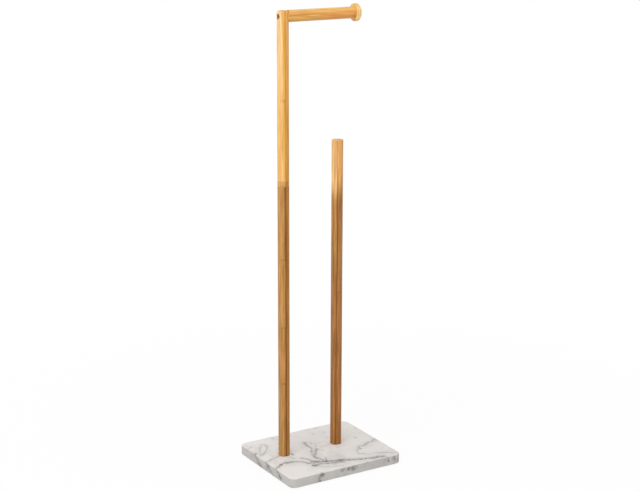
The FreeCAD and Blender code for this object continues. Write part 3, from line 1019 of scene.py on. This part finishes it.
@dataclass
class FootPads:
    """Four round rubber pads under the slab's corners, repeated by one node tree.

    Attributes:
        radius: Radius of a pad.
        thickness: Thickness of a pad.
        across: Distance between pads along X.
        back: Distance between pads along Y.
        edge: Rounding of a pad's rim.
        groove_pitch: Distance between the rings of the tread.
        groove_depth: Depth of the tread.
        rubber: The pads' finish.
    """

    radius: float
    thickness: float
    across: float
    back: float
    edge: float = 0.4 * MM
    groove_pitch: float = 1.6 * MM
    groove_depth: float = 0.18 * MM
    rubber: PlainFinish = PlainFinish(
        name="foot_rubber",
        tone=(52, 52, 53),
        patch_tone=(92, 91, 89),
        roughness=(0.72, 0.87),
        metallic=0.0,
        patches=Patches(Waves(180.0, 4.0, 0.6), (0.5, 0.8), 0.5),
        skin=Waves(2200.0, 3.0),
        relief=0.03 * MM,
    )

    SIDES: ClassVar[int] = 64
    SIDE_STEPS: ClassVar[int] = 4
    RINGS: ClassVar[int] = 40
    # How far from the rim the tread starts, in roundings of the rim.
    TREAD_START: ClassVar[float] = 1.5
    # Height under which a point is on the lower face, in thicknesses from a pad's middle.
    LOWER_FACE: ClassVar[float] = -0.49

    @classmethod
    def from_frame(cls) -> "FootPads":
        """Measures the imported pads.

        Returns:
            Pads of their size, in their places.
        """
        low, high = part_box("foot_pad_front_left")
        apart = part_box("foot_pad_back_right")[0] - low
        return cls((high.x - low.x) / 2, high.z - low.z, apart.x, apart.y)

    def tree(self, sizes: dict[str, float]) -> tuple[bpy.types.NodeTree, dict[str, str]]:
        """Builds the node tree: a pad with a ringed tread on each corner of a rectangle.

        Args:
            sizes: The lengths that are inputs of the tree, by name.

        Returns:
            The tree, and the identifier of each named input.
        """
        graph = Graph(bpy.data.node_groups.new("foot_pads", "GeometryNodeTree"))
        sockets = graph.tree.interface
        kinds = dict.fromkeys(sizes, "NodeSocketFloat") | {"Rubber": "NodeSocketMaterial"}
        identifiers = {}
        for label, kind in kinds.items():
            identifiers[label] = sockets.new_socket(label, in_out="INPUT", socket_type=kind).identifier
        sockets.new_socket("Pads", in_out="OUTPUT", socket_type="NodeSocketGeometry")
        given = graph.node("NodeGroupInput", {}).outputs
        edge = given["Edge"]
        thickness = given["Thickness"]

        x, y, z = graph.split(graph.node("GeometryNodeInputPosition", {}).outputs[0])
        out = graph.vector("LENGTH", graph.join(x, y))
        from_rim = graph.math("SUBTRACT", given["Radius"], out)
        past = graph.math("MAXIMUM", graph.math("SUBTRACT", edge, from_rim), 0.0)
        past_squared = graph.math("MULTIPLY", past, past)
        squared = graph.math("SUBTRACT", graph.math("MULTIPLY", edge, edge), past_squared)
        drop = graph.math("SUBTRACT", edge, graph.math("SQRT", graph.math("MAXIMUM", squared, 0.0)))
        turns = graph.math("DIVIDE", out, given["Groove Pitch"])
        wave = graph.math("COSINE", graph.math("MULTIPLY", turns, 2 * math.pi))
        tread = graph.math("MULTIPLY", graph.math("MULTIPLY_ADD", wave, 0.5, 0.5), given["Groove Depth"])
        inner = graph.math("GREATER_THAN", from_rim, graph.math("MULTIPLY", edge, self.TREAD_START))
        lower = graph.math("LESS_THAN", z, graph.math("MULTIPLY", thickness, self.LOWER_FACE))
        rise = graph.math("MULTIPLY_ADD", tread, inner, drop)
        move = graph.join(0.0, 0.0, graph.math("MULTIPLY", rise, lower))
        lift = graph.join(0.0, 0.0, graph.math("MULTIPLY", thickness, 0.5))

        cylinder = {
            "Vertices": self.SIDES,
            "Side Segments": self.SIDE_STEPS,
            "Fill Segments": self.RINGS,
            "Radius": given["Radius"],
            "Depth": thickness,
        }
        disc = graph.node("GeometryNodeMeshCylinder", cylinder, fill_type="TRIANGLE_FAN").outputs["Mesh"]
        pad = graph.node("GeometryNodeSetPosition", {"Geometry": disc, "Offset": move}).outputs[0]
        grid = {"Vertices X": 2, "Vertices Y": 2, "Size X": given["Across"], "Size Y": given["Back"]}
        corners = graph.node("GeometryNodeMeshGrid", grid).outputs["Mesh"]
        shifted = {"Geometry": corners, "Translation": lift}
        raised = graph.node("GeometryNodeTransform", shifted).outputs[0]
        copies = {"Points": raised, "Instance": pad}
        repeated = graph.node("GeometryNodeInstanceOnPoints", copies).outputs[0]
        plain = graph.node("GeometryNodeRealizeInstances", {0: repeated}).outputs[0]
        painted = {"Geometry": plain, "Material": given["Rubber"]}
        graph.node("NodeGroupOutput", {0: graph.node("GeometryNodeSetMaterial", painted).outputs[0]})
        return graph.tree, identifiers

    def build(self) -> bpy.types.Object:
        """Makes the four pads as one piece.

        Returns:
            The piece.
        """
        sizes = {
            "Radius": self.radius,
            "Thickness": self.thickness,
            "Edge": self.edge,
            "Across": self.across,
            "Back": self.back,
            "Groove Pitch": self.groove_pitch,
            "Groove Depth": self.groove_depth,
        }
        material = self.rubber.material()
        tree, identifiers = self.tree(sizes)
        holder = bpy.data.objects.new("foot_pads_source", bpy.data.meshes.new("foot_pads_source"))
        modifier = holder.modifiers.new("foot_pads", "NODES")
        modifier.node_group = tree
        for label, setting in (sizes | {"Rubber": material}).items():
            modifier[identifiers[label]] = setting
        bpy.context.scene.collection.objects.link(holder)
        evaluated = holder.evaluated_get(bpy.context.evaluated_depsgraph_get())
        mesh = bpy.data.meshes.new_from_object(evaluated)
        bpy.data.objects.remove(holder)
        smooth(mesh)
        return new_piece("foot_pads", mesh, material)


@dataclass
class Slab:
    """The marble slab, with eased edges a little uneven from honing, and the screw holes under the posts.

    Attributes:
        low: Lowest corner of its box.
        high: Highest corner of its box.
        hole_places: Where the screws pass.
        seat: Height to which the recesses for the washers go.
        recess_radius: Radius of such a recess.
        hole_radius: Radius of a screw hole.
        corner: Radius of the upright corners.
        top_edge: Usual rounding of the top edge.
        bottom_edge: Usual rounding of the bottom edge.
    """

    low: Vector
    high: Vector
    hole_places: tuple[Vector, ...]
    seat: float
    recess_radius: float = 8.0 * MM
    hole_radius: float = 3.3 * MM
    corner: float = 10.5 * MM
    top_edge: float = 1.5 * MM
    bottom_edge: float = 1.0 * MM

    CORNER_STEPS: ClassVar[int] = 10
    SIDE_STEPS: ClassVar[int] = 56
    EDGE_STEPS: ClassVar[int] = 6
    HOLE_SIDES: ClassVar[int] = 48
    FLAT_RIM: ClassVar[float] = 0.6 * MM
    TOP_SEED: ClassVar[float] = 0.7
    BOTTOM_SEED: ClassVar[float] = 0.3
    COARSE_WAVES: ClassVar[float] = 90.0
    COARSE_UNEVEN: ClassVar[float] = 0.45
    FINE_WAVES: ClassVar[float] = 330.0
    FINE_UNEVEN: ClassVar[float] = 0.225

    @classmethod
    def from_frame(cls) -> "Slab":
        """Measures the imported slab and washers.

        Returns:
            A slab of that size, with its holes at the washers.
        """
        washers = [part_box(f"{post}_base_washer") for post in POSTS]
        places = tuple((low + high) / 2 for low, high in washers)
        return cls(*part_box("base_slab"), places, washers[0][1].z)

    def outline(self) -> list[tuple[Vector, Vector]]:
        """Points round the slab with the direction that leads outwards at each.

        Returns:
            Each point of the rounded rectangle and its outward direction, anticlockwise.
        """
        points = []
        left, front = self.low.x + self.corner, self.low.y + self.corner
        right, back = self.high.x - self.corner, self.high.y - self.corner
        corners = ((right, front, -90), (right, back, 0), (left, back, 90), (left, front, 180))
        for number, (x, y, start) in enumerate(corners):
            for step in range(self.CORNER_STEPS + 1):
                angle = math.radians(start + 90 * step / self.CORNER_STEPS)
                outward = Vector((math.cos(angle), math.sin(angle), 0.0))
                points.append((Vector((x, y, 0.0)) + self.corner * outward, outward))
            here, outward = points[-1]
            ahead_x, ahead_y, _ = corners[(number + 1) % len(corners)]
            there = Vector((ahead_x, ahead_y, 0.0)) + self.corner * outward
            for step in range(1, self.SIDE_STEPS):
                points.append((here.lerp(there, step / self.SIDE_STEPS), outward))
        return points

    def eased(self, radius: float, point: Vector, seed: float) -> float:
        """Rounding of an edge at one place, a little uneven.

        Args:
            radius: Usual rounding.
            point: Where along the edge.
            seed: Shift that makes the two edges differ.

        Returns:
            The rounding there.
        """
        at = point + Vector((0.0, 0.0, seed))
        coarse = self.COARSE_UNEVEN * noise.noise(at * self.COARSE_WAVES)
        fine = self.FINE_UNEVEN * noise.noise(at * self.FINE_WAVES)
        return radius * (1.0 + coarse + fine)

    def edge_rings(self, radius: float, seed: float, level: float, side: int) -> list[list[Vector]]:
        """Rings of points round one eased edge, from the flat face out to the upright side.

        Args:
            radius: Usual rounding of the edge.
            seed: Shift that makes the two edges differ.
            level: Height of the flat face.
            side: 1 where the upright side is above the face, -1 where it is below.

        Returns:
            One list of points for each ring, all of one length.
        """
        angles = [math.pi / 2 * step / self.EDGE_STEPS for step in range(self.EDGE_STEPS + 1)]
        rings: list[list[Vector]] = [[] for _ in range(len(angles) + 1)]
        for point, outward in self.outline():
            eased = self.eased(radius, point, seed)
            insets = [eased + self.FLAT_RIM] + [eased * (1 - math.sin(angle)) for angle in angles]
            depths = [0.0] + [eased * (1 - math.cos(angle)) for angle in angles]
            for ring, inset, depth in zip(rings, insets, depths):
                ring.append(point - inset * outward + Vector((0.0, 0.0, level + side * depth)))
        return rings

    def circle(self, place: Vector, radius: float, height: float) -> list[Vector]:
        """Points of a level circle, anticlockwise.

        Args:
            place: Where its middle is, seen from above.
            radius: Its radius.
            height: Its height.

        Returns:
            The points.
        """
        middle = Vector((place.x, place.y, height))
        angles = [2 * math.pi * step / self.HOLE_SIDES for step in range(self.HOLE_SIDES)]
        return [middle + radius * Vector((math.cos(angle), math.sin(angle), 0.0)) for angle in angles]

    def mesh(self) -> bpy.types.Mesh:
        """Builds the slab's closed mesh.

        Returns:
            The mesh, in place.
        """
        rings = self.edge_rings(self.bottom_edge, self.BOTTOM_SEED, self.low.z, 1)
        rings += reversed(self.edge_rings(self.top_edge, self.TOP_SEED, self.high.z, -1))
        levels = (
            (self.recess_radius, self.low.z),
            (self.recess_radius, self.seat),
            (self.hole_radius, self.seat),
            (self.hole_radius, self.high.z),
        )
        walls = [rings]
        for place in self.hole_places:
            walls.append([self.circle(place, radius, height) for radius, height in levels])
        shell = bmesh.new()
        floor_edges = []
        top_edges = []
        for wall in walls:
            loops = [[shell.verts.new(point) for point in ring] for ring in wall]
            self.join_loops(shell, loops)
            floor_edges += self.loop_edges(shell, loops[0])
            top_edges += self.loop_edges(shell, loops[-1])
        bmesh.ops.triangle_fill(shell, use_beauty=True, edges=floor_edges, normal=(0.0, 0.0, -1.0))
        bmesh.ops.triangle_fill(shell, use_beauty=True, edges=top_edges, normal=(0.0, 0.0, 1.0))
        bmesh.ops.recalc_face_normals(shell, faces=shell.faces[:])
        mesh = bpy.data.meshes.new("marble_slab")
        shell.to_mesh(mesh)
        shell.free()
        smooth(mesh)
        return mesh

    @staticmethod
    def join_loops(shell: bmesh.types.BMesh, loops: list[list[bmesh.types.BMVert]]) -> None:
        """Joins each loop of points to the next one with four-sided faces.

        Args:
            shell: The mesh in work.
            loops: The loops in order, all of one length.
        """
        for lower, upper in zip(loops, loops[1:]):
            for here in range(len(lower)):
                ahead = (here + 1) % len(lower)
                shell.faces.new((lower[here], lower[ahead], upper[ahead], upper[here]))

    @staticmethod
    def loop_edges(shell: bmesh.types.BMesh, loop: list[bmesh.types.BMVert]) -> list[bmesh.types.BMEdge]:
        """Edges of a closed loop of points."""
        return [shell.edges.get((loop[here - 1], loop[here])) for here in range(len(loop))]


@dataclass
class BaseAssembly:
    """Marble slab on its foot pads.

    Attributes:
        slab: The slab's shape.
        pads: The foot pads.
        marble: The slab's finish.
    """

    slab: Slab = field(default_factory=Slab.from_frame)
    pads: FootPads = field(default_factory=FootPads.from_frame)
    marble: MarbleFinish = MarbleFinish(
        name="honed_marble",
        white=(234, 230, 226),
        cloud=(222, 218, 215),
        vein_grey=(96, 94, 96),
        # The sides are painted darker than the top, as painted shade.
        side_shade_share=0.68,
        veins=(
            Vein(
                ((-107, -39), (-101, -34), (-95, -30), (-87, -24), (-79, -23), (-72, -23)),
                1.9,
                0.8,
                -1.3,
            ),
            Vein(((-80, -24), (-66, -25), (-55, -30), (-48, -38), (-43, -44), (-35, -48)), 3.7, 0.72),
            Vein(((-48, -17), (-43, -23), (-38, -32), (-34, -42), (-28, -46)), 2.4, 0.75),
            Vein(
                ((-41, -37), (-34, -43), (-28, -46), (-20, -50), (-12, -54.5), (-2, -57), (12, -62)),
                7.0,
                0.86,
            ),
            Vein(((4, -59), (20, -65), (32, -69), (46, -74), (61, -77), (76, -80)), 4.4, 0.74, 1.2),
            Vein(((-46, -51), (-42, -54.5), (-37, -55.5), (-33, -54)), 4.4, 0.88),
            Vein(((-32, -51), (-26, -56.5), (-14, -61), (-1, -64), (8, -65)), 5.0, 0.65),
            Vein(((-40, -62), (-32, -66), (-17, -73), (-2, -77)), 4.0, 0.3),
            Vein(
                ((-7, 39), (-10, 27), (-12, 11), (-14, 4), (-21.5, -15), (-23, -22), (-20, -39), (-20, -47)),
                3.2,
                0.62,
            ),
            Vein(((0, 33), (1, 25), (4, 21), (0, 13.5), (-4, 8), (-7, 2)), 1.2, 0.4),
            Vein(((-3, 4), (-5.4, 1.9), (-10, -4.3), (-15.7, -12.7), (-21, -19), (-23, -24)), 3.2, 0.66),
            Vein(((1, -10), (-0.8, -5.8), (-1.7, 0.3), (-5, 3)), 1.2, 0.45),
            Vein(((-11, -34), (-14, -42.7), (-17.7, -49)), 2.4, 0.6),
            Vein(((-1, 12), (5.6, 7.3), (11, 6), (18, 7.7), (24, 9)), 3.0, 0.25),
            Vein(
                ((103, -9), (93, -13), (87, -18), (81, -19), (74, -23), (66, -26.5), (61, -25), (56, -29)),
                2.8,
                0.52,
            ),
            Vein(((58, -27), (50, -36), (43, -42)), 2.4, 0.4),
            Vein(
                ((43, -42), (44, -50), (50, -55), (57, -60), (66, -62), (78, -66), (95, -75), (103, -79)),
                2.6,
                0.4,
            ),
            Vein(((-71, 64), (-68, 55), (-70, 48), (-75, 42), (-83, 32), (-91, 25), (-97, 22)), 2.0, 0.55),
            Vein(((-71, 64), (-82, 50), (-87, 43), (-95, 25), (-100, 17)), 1.4, 0.4),
            Vein(((-102, -6), (-94, -2), (-87, 2), (-83, 2), (-73, 6), (-65, 9)), 1.7, 0.5),
            Vein(((-62, -4), (-60, -6), (-57, -12), (-53, -17)), 2.0, 0.4),
            Vein(((-52, 84), (-44, 80), (-41, 63), (-47, 52)), 0.9, 0.35),
            Vein(((-112, 33), (-96, 33)), 3.2, 0.8, -1.3),
            Vein(((-112, 0), (-98, 0)), 3.6, 0.52, -2.0),
            Vein(((-47, -96), (-47, -81)), 2.8, 0.5, 0.5),
            Vein(((22, 104), (26, 83.5)), 2.2, 0.8, 0.9),
            Vein(((-38, 104), (-40, 83.5)), 1.6, 0.6, -0.7),
            Vein(((66, 104), (63, 83.5)), 1.8, 0.5, 1.6),
            Vein(((121, 40), (100.5, 42)), 2.0, 0.7, 1.2),
            Vein(((121, -40), (100.5, -38)), 1.8, 0.5, -0.9),
        ),
        blots=(
            Blot((-47, -84.5, -4.5), (6.5, 5, 5.5), 0.72),
            Blot((-52, -84.5, -13), (4, 4, 3), 0.75),
            Blot((2, -84.5, -4.5), (6, 5, 5), 0.8),
            Blot((11, -84.5, -5), (9, 5, 6), 0.7),
            Blot((-9, -84.5, -4), (8, 5, 4.5), 0.45),
            Blot((76, -84.5, -4.5), (3, 4, 6), 0.85),
            Blot((87, -84.5, -5.3), (6, 4, 6), 0.5),
            Blot((95, -82, -8.8), (4, 4, 8), 0.4),
            Blot((-101.5, 17, -11.8), (4, 9, 3.5), 0.7),
            Blot((-101.5, -11, -4.8), (4, 6, 5), 0.7),
            Blot((-101.5, -50, -10.5), (4, 6, 5), 0.85),
            Blot((-101.5, -41, -3.5), (4, 4.5, 4), 0.8),
            Blot((28, 84.5, -5), (8, 4, 4), 0.7),
            Blot((-60, 84.5, -9), (6, 4, 4), 0.5),
            Blot((101.5, 20, -8), (4, 8, 4), 0.5),
            Blot((-87, -25, 0), (5, 6, 3), 0.95),
            Blot((-94, -30, 0), (4, 5, 3), 0.7),
            Blot((-50, 4, 0), (4, 8, 3), 0.85),
            Blot((-46, 52, 0), (3, 5, 3), 0.6),
            Blot((-7, 0, 0), (5, 6, 3), 0.7),
            Blot((-21, -18, 0), (7, 9, 3), 0.72),
            Blot((-47, -42, 0), (5, 5, 3), 0.8),
            Blot((-20, -49, 0), (9, 9, 3), 0.75),
            Blot((-40, -55, 0), (7, 6, 3), 0.9),
            Blot((55, -33, 0), (4, 7, 3), 0.6),
            Blot((88, -18, 0), (6, 4, 3), 0.4),
            Blot((24.8, 61.7, 0), (3, 5, 3), 0.45),
            Blot((96, 45, 0), (3, 5, 3), 0.4),
            Blot((75, 10, 0), (3, 5, 3), 0.5),
        ),
    )

    def build(self) -> None:
        """Makes the slab and the pads."""
        slab = new_piece("marble_slab", self.slab.mesh(), self.marble.material(self.slab.high.z))
        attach(slab, "base")
        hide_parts("base_slab")
        pads = self.pads.build()
        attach(pads, "base")
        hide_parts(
            "foot_pad_front_left", "foot_pad_front_right", "foot_pad_back_left", "foot_pad_back_right"
        )


@dataclass
class TallPostAssembly:
    """Tall post of two sections, with its arm, the stop disc and the disc's dowel.

    Attributes:
        lower: Finish of the lower section.
        upper: Finish of the upper section.
        arm: Finish of the arm.
        disc: Finish of the stop disc.
        dowel: Finish of the dowel.
    """

    lower: BambooFinish = BambooFinish(
        name="bamboo_tall_post_lower",
        run=GrainRun.UPRIGHT,
        seed=0.0,
        first_seam=-1.0 * MM,
        strip=6.6 * MM,
        # Darker than the upper section and darker towards the foot: partly the bamboo's own tone, partly
        # painted shade where the light falls off lower down.
        high_tones=((201, 149, 85), (176, 123, 55), (182, 130, 62)),
        low_tones=((188, 139, 79), (166, 114, 58), (172, 122, 62)),
        fade=(0.032, 0.402),
        high_deep=(130, 72, 4),
        low_deep=(130, 72, 4),
        amber=(186, 124, 50),
        skin=0.8,
        gold=0.4,
        knots=((0, 0.3234), (0, 0.2137), (0, 0.1218)),
        figure=1.3,
        flecks=0.9,
    )
    upper: BambooFinish = BambooFinish(
        name="bamboo_tall_post_upper",
        run=GrainRun.UPRIGHT,
        seed=0.31,
        first_seam=-1.0 * MM,
        strip=6.6 * MM,
        # Darker towards the low end: partly the bamboo's own tone, partly painted shade where the light
        # falls off lower down.
        high_tones=((254, 212, 152), (242, 178, 101), (238, 180, 107)),
        low_tones=((240, 186, 112), (208, 154, 78), (214, 160, 86)),
        fade=(0.025, 0.245),
        high_deep=(200, 132, 34),
        low_deep=(200, 132, 34),
        amber=(244, 186, 80),
        skin=0.56,
        gold=0.85,
        gold_rise=(0.018, 0.075),
        knots=((0, 0.0018), (0, 0.131)),
        # The foot tint darkens the first millimetres above the joint: partly own tone, partly painted shade
        # of the light falling off.
        foot=(0.008, 0.0095),
        foot_tint=(0.78, 0.74, 0.75),
        end_shade=0.3,
        flecks=0.65,
        bore=(8.7 * MM, 0.249, 0.2615),
    )
    arm: BambooFinish = BambooFinish(
        name="bamboo_arm",
        run=GrainRun.ALONG_ARM,
        seed=0.57,
        first_seam=-6.5 * MM,
        strip=6.1 * MM,
        high_tones=((250, 208, 132), (241, 186, 106), (234, 166, 90), (214, 148, 78)),
        low_tones=((235, 192, 128), (238, 184, 106), (236, 180, 94), (212, 158, 84)),
        fade=(0.027, 0.087),
        high_deep=(222, 150, 82),
        low_deep=(196, 130, 50),
        amber=(226, 150, 75),
        skins_first=False,
        skin=0.5,
        flecks=0.4,
        slope=-0.09,
        drift=-0.02,
        streaks_and_painted_light=(
            ToneBand(-5.6 * MM, 2.8 * MM, 0.85, (226, 150, 75), 0.006, 0.026, -0.09),
            # Painted highlight: a pale line along the arm near the post.
            ToneBand(-0.3 * MM, 1.1 * MM, 0.75, (255, 204, 124), 0.062, 0.045),
            # Painted shade on the arm's underside next to the stop disc.
            ToneBand(5.0 * MM, 5.0 * MM, 0.6, (190, 138, 58), 0.110, 0.118),
        ),
    )
    disc: BambooFinish = BambooFinish(
        name="bamboo_stop_disc",
        run=GrainRun.ACROSS_DISC,
        seed=0.83,
        first_seam=-5.4 * MM,
        strip=5.9 * MM,
        high_tones=((250, 213, 148), (242, 200, 131), (248, 208, 141), (240, 198, 128)),
        low_tones=((250, 213, 148), (242, 200, 131), (248, 208, 141), (240, 198, 128)),
        fade=(-0.01, 0.01),
        high_deep=(205, 146, 66),
        low_deep=(205, 146, 66),
        amber=(238, 182, 106),
        skin=0.15,
        flecks=0.5,
        # Painted shade on the lowest part of the disc, under the arm.
        streaks_and_painted_light=(ToneBand(0.0, 60.0 * MM, 0.5, (196, 144, 70), -0.0075, -0.0125),),
    )
    dowel: DowelFinish = DowelFinish("beech_dowel", (214, 184, 142), (176, 136, 92))

    def build(self, nodes: Nodes) -> None:
        """Dresses the post's wooden pieces.

        Args:
            nodes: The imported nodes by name.
        """
        dress(nodes["tall_post_lower"], self.lower.material("tall_post_lower"))
        dress(nodes["tall_post_upper"], self.upper.material("tall_post_upper"))
        dress(nodes["roll_arm"], self.arm.material("roll_arm"))
        dress(nodes["arm_stop_disc"], self.disc.material("arm_stop_disc"))
        dress(nodes["stop_disc_dowel"], self.dowel.material())


@dataclass
class SparePostAssembly:
    """Short post for the spare rolls.

    Attributes:
        post: Finish of the post.
    """

    post: BambooFinish = BambooFinish(
        name="bamboo_spare_post",
        run=GrainRun.UPRIGHT,
        seed=1.19,
        first_seam=-5.75 * MM,
        strip=6.2 * MM,
        # The low tones below about 0.4 m darken the lower part: partly the bamboo's own tone, partly painted
        # shade where the light falls off lower down.
        high_tones=((252, 206, 140), (237, 179, 106), (220, 160, 96), (206, 156, 98)),
        low_tones=((196, 145, 84), (179, 124, 66), (172, 119, 69), (166, 118, 72)),
        fade=(0.402, 0.440),
        high_deep=(190, 130, 54),
        low_deep=(136, 80, 12),
        amber=(192, 126, 58),
        skin=0.38,
        gold=0.3,
        drift=0.004,
        knots=((1, 0.257), (2, 0.422)),
        # The foot tint darkens towards the slab: partly own tone, partly painted shade.
        foot=(0.18, 0.40),
        foot_tint=(0.90, 0.83, 0.81),
        wander=1.0 * MM,
        end_shade=-0.25,
        figure=1.5,
        streaks_and_painted_light=(
            # Painted shade along the post's -X edge, from about 0.4 m down.
            ToneBand(-8.7 * MM, 1.4 * MM, 0.5, (148, 100, 56), 0.40, 0.30),
            ToneBand(-6.6 * MM, 1.8 * MM, 0.6, (252, 206, 142), 0.39, 0.44),
            ToneBand(-7.0 * MM, 0.8 * MM, 0.6, (226, 176, 100), 0.30, 0.34),
            ToneBand(-5.2 * MM, 1.5 * MM, 0.78, (156, 98, 46), 0.492, 0.41, -0.004),
            ToneBand(-1.6 * MM, 0.9 * MM, 0.45, (196, 146, 90), 0.24, 0.20, -0.004),
        ),
    )

    def build(self, nodes: Nodes) -> None:
        """Dresses the post."""
        dress(nodes["spare_post"], self.post.material("spare_post"))


@dataclass
class Fixings:
    """Screws, washers, stud and inserts of both posts and the arm.

    Attributes:
        zinc: Finish of the screws from below, their washers and the stud.
        bronzed: Finish of the arm's screw.
        brass: Finish of the inserts.
    """

    zinc: PlainFinish = PlainFinish("zinc_plate", (186, 189, 194), (206, 208, 210), (0.24, 0.44))
    bronzed: PlainFinish = PlainFinish("bronzed_steel", (160, 121, 74), (176, 138, 90), (0.4, 0.6), 0.2)
    brass: PlainFinish = PlainFinish("turned_brass", (205, 168, 92), (224, 192, 120), (0.18, 0.38))

    def build(self, nodes: Nodes) -> None:
        """Dresses the fixings.

        Args:
            nodes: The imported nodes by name.
        """
        zinc = self.zinc.material()
        brass = self.brass.material()
        for post in POSTS:
            dress(nodes[f"{post}_base_screw"], zinc)
            dress(nodes[f"{post}_base_washer"], zinc)
            dress(nodes[f"{post}_base_insert"], brass)
        dress(nodes["joining_stud"], zinc)
        for name in ("joint_insert_lower", "joint_insert_upper", "arm_insert"):
            dress(nodes[name], brass)
        dress(nodes["arm_screw"], self.bronzed.material())


@dataclass(frozen=True)
class SoftBox:
    """A square soft light.

    Attributes:
        name: The light's name.
        place: Where it hangs.
        aim: Where it points.
        side: Length of its side.
        power: Its power in watts.
    """

    name: str
    place: Point
    aim: Point
    side: float
    power: float

    def build(self) -> None:
        """Hangs the light."""
        lamp = bpy.data.lights.new(self.name, "AREA")
        lamp.shape = "SQUARE"
        lamp.size = self.side
        lamp.energy = self.power
        light = bpy.data.objects.new(self.name, lamp)
        light.location = self.place
        light.rotation_mode = "QUATERNION"
        light.rotation_quaternion = (Vector(self.aim) - Vector(self.place)).to_track_quat("-Z", "Y")
        bpy.context.scene.collection.objects.link(light)


@dataclass
class Studio:
    """White floor, one soft light and the camera.

    Attributes:
        floor_side: Side of the floor.
        sky_light: Strength of the light from all round.
        camera_place: Where the camera stands.
        yaw: Camera's turn from +Y towards +X, in degrees.
        pitch: Camera's tilt down, in degrees.
        roll: Camera's turn about its own axis, in degrees.
        lens: Focal length in millimetres.
        sensor: Width of the sensor in millimetres.
        floor: The floor's finish.
        key: The soft light.
    """

    floor_side: float = 60.0
    sky_light: float = 0.75
    camera_place: Point = (-1.15102, -1.88538, 0.92814)
    yaw: float = 31.384
    pitch: float = 14.552
    roll: float = 0.175
    lens: float = 82.68
    sensor: float = 36.0
    floor: FloorFinish = FloorFinish("pale_floor", (250, 250, 249), 0.3, 1.1, 0.9)
    key: SoftBox = SoftBox("key_light", (-1.7, -1.0, 2.8), (0.0, 0.0, 0.3), 2.6, 36.0)

    def build(self) -> None:
        """Makes the floor, the world, the light and the camera."""
        self.build_floor()
        self.build_world()
        self.key.build()
        self.build_camera()

    def build_floor(self) -> None:
        """Lays the floor."""
        half = self.floor_side / 2
        mesh = bpy.data.meshes.new("floor")
        corners = [(-half, -half, 0.0), (half, -half, 0.0), (half, half, 0.0), (-half, half, 0.0)]
        mesh.from_pydata(corners, [], [(0, 1, 2, 3)])
        new_piece("floor", mesh, self.floor.material())

    def build_world(self) -> None:
        """Lights the scene from all round, and shows white to the camera."""
        world = bpy.data.worlds.new("studio")
        world.use_nodes = True
        graph = Graph(world.node_tree)
        strength = graph.ranged(graph.seen(), (self.sky_light, 1.0))
        sky = graph.node("ShaderNodeBackground", {"Color": (1.0, 1.0, 1.0, 1.0), "Strength": strength})
        graph.node("ShaderNodeOutputWorld", {"Surface": sky.outputs[0]})
        bpy.context.scene.world = world

    def build_camera(self) -> None:
        """Sets the camera where the photograph was taken from."""
        data = bpy.data.cameras.new("camera")
        data.sensor_fit = "HORIZONTAL"
        data.sensor_width = self.sensor
        data.lens = self.lens
        camera = bpy.data.objects.new("camera", data)
        facing = Matrix.Rotation(-math.radians(self.yaw), 4, "Z")
        tilted = Matrix.Rotation(math.pi / 2 - math.radians(self.pitch), 4, "X")
        rolled = Matrix.Rotation(math.radians(self.roll), 4, "Z")
        camera.matrix_world = Matrix.Translation(self.camera_place) @ facing @ tilted @ rolled
        bpy.context.scene.collection.objects.link(camera)
        bpy.context.scene.camera = camera
        bpy.context.scene.view_settings.view_transform = "Standard"


def main() -> None:
    """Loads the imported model, dresses each assembly and sets up the studio."""
    logging.basicConfig(level=logging.INFO, format="%(message)s")
    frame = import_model()
    nodes = frame["nodes"]
    BaseAssembly().build()
    TallPostAssembly().build(nodes)
    SparePostAssembly().build(nodes)
    Fixings().build(nodes)
    Studio().build()


if __name__ == "__main__":
    main()
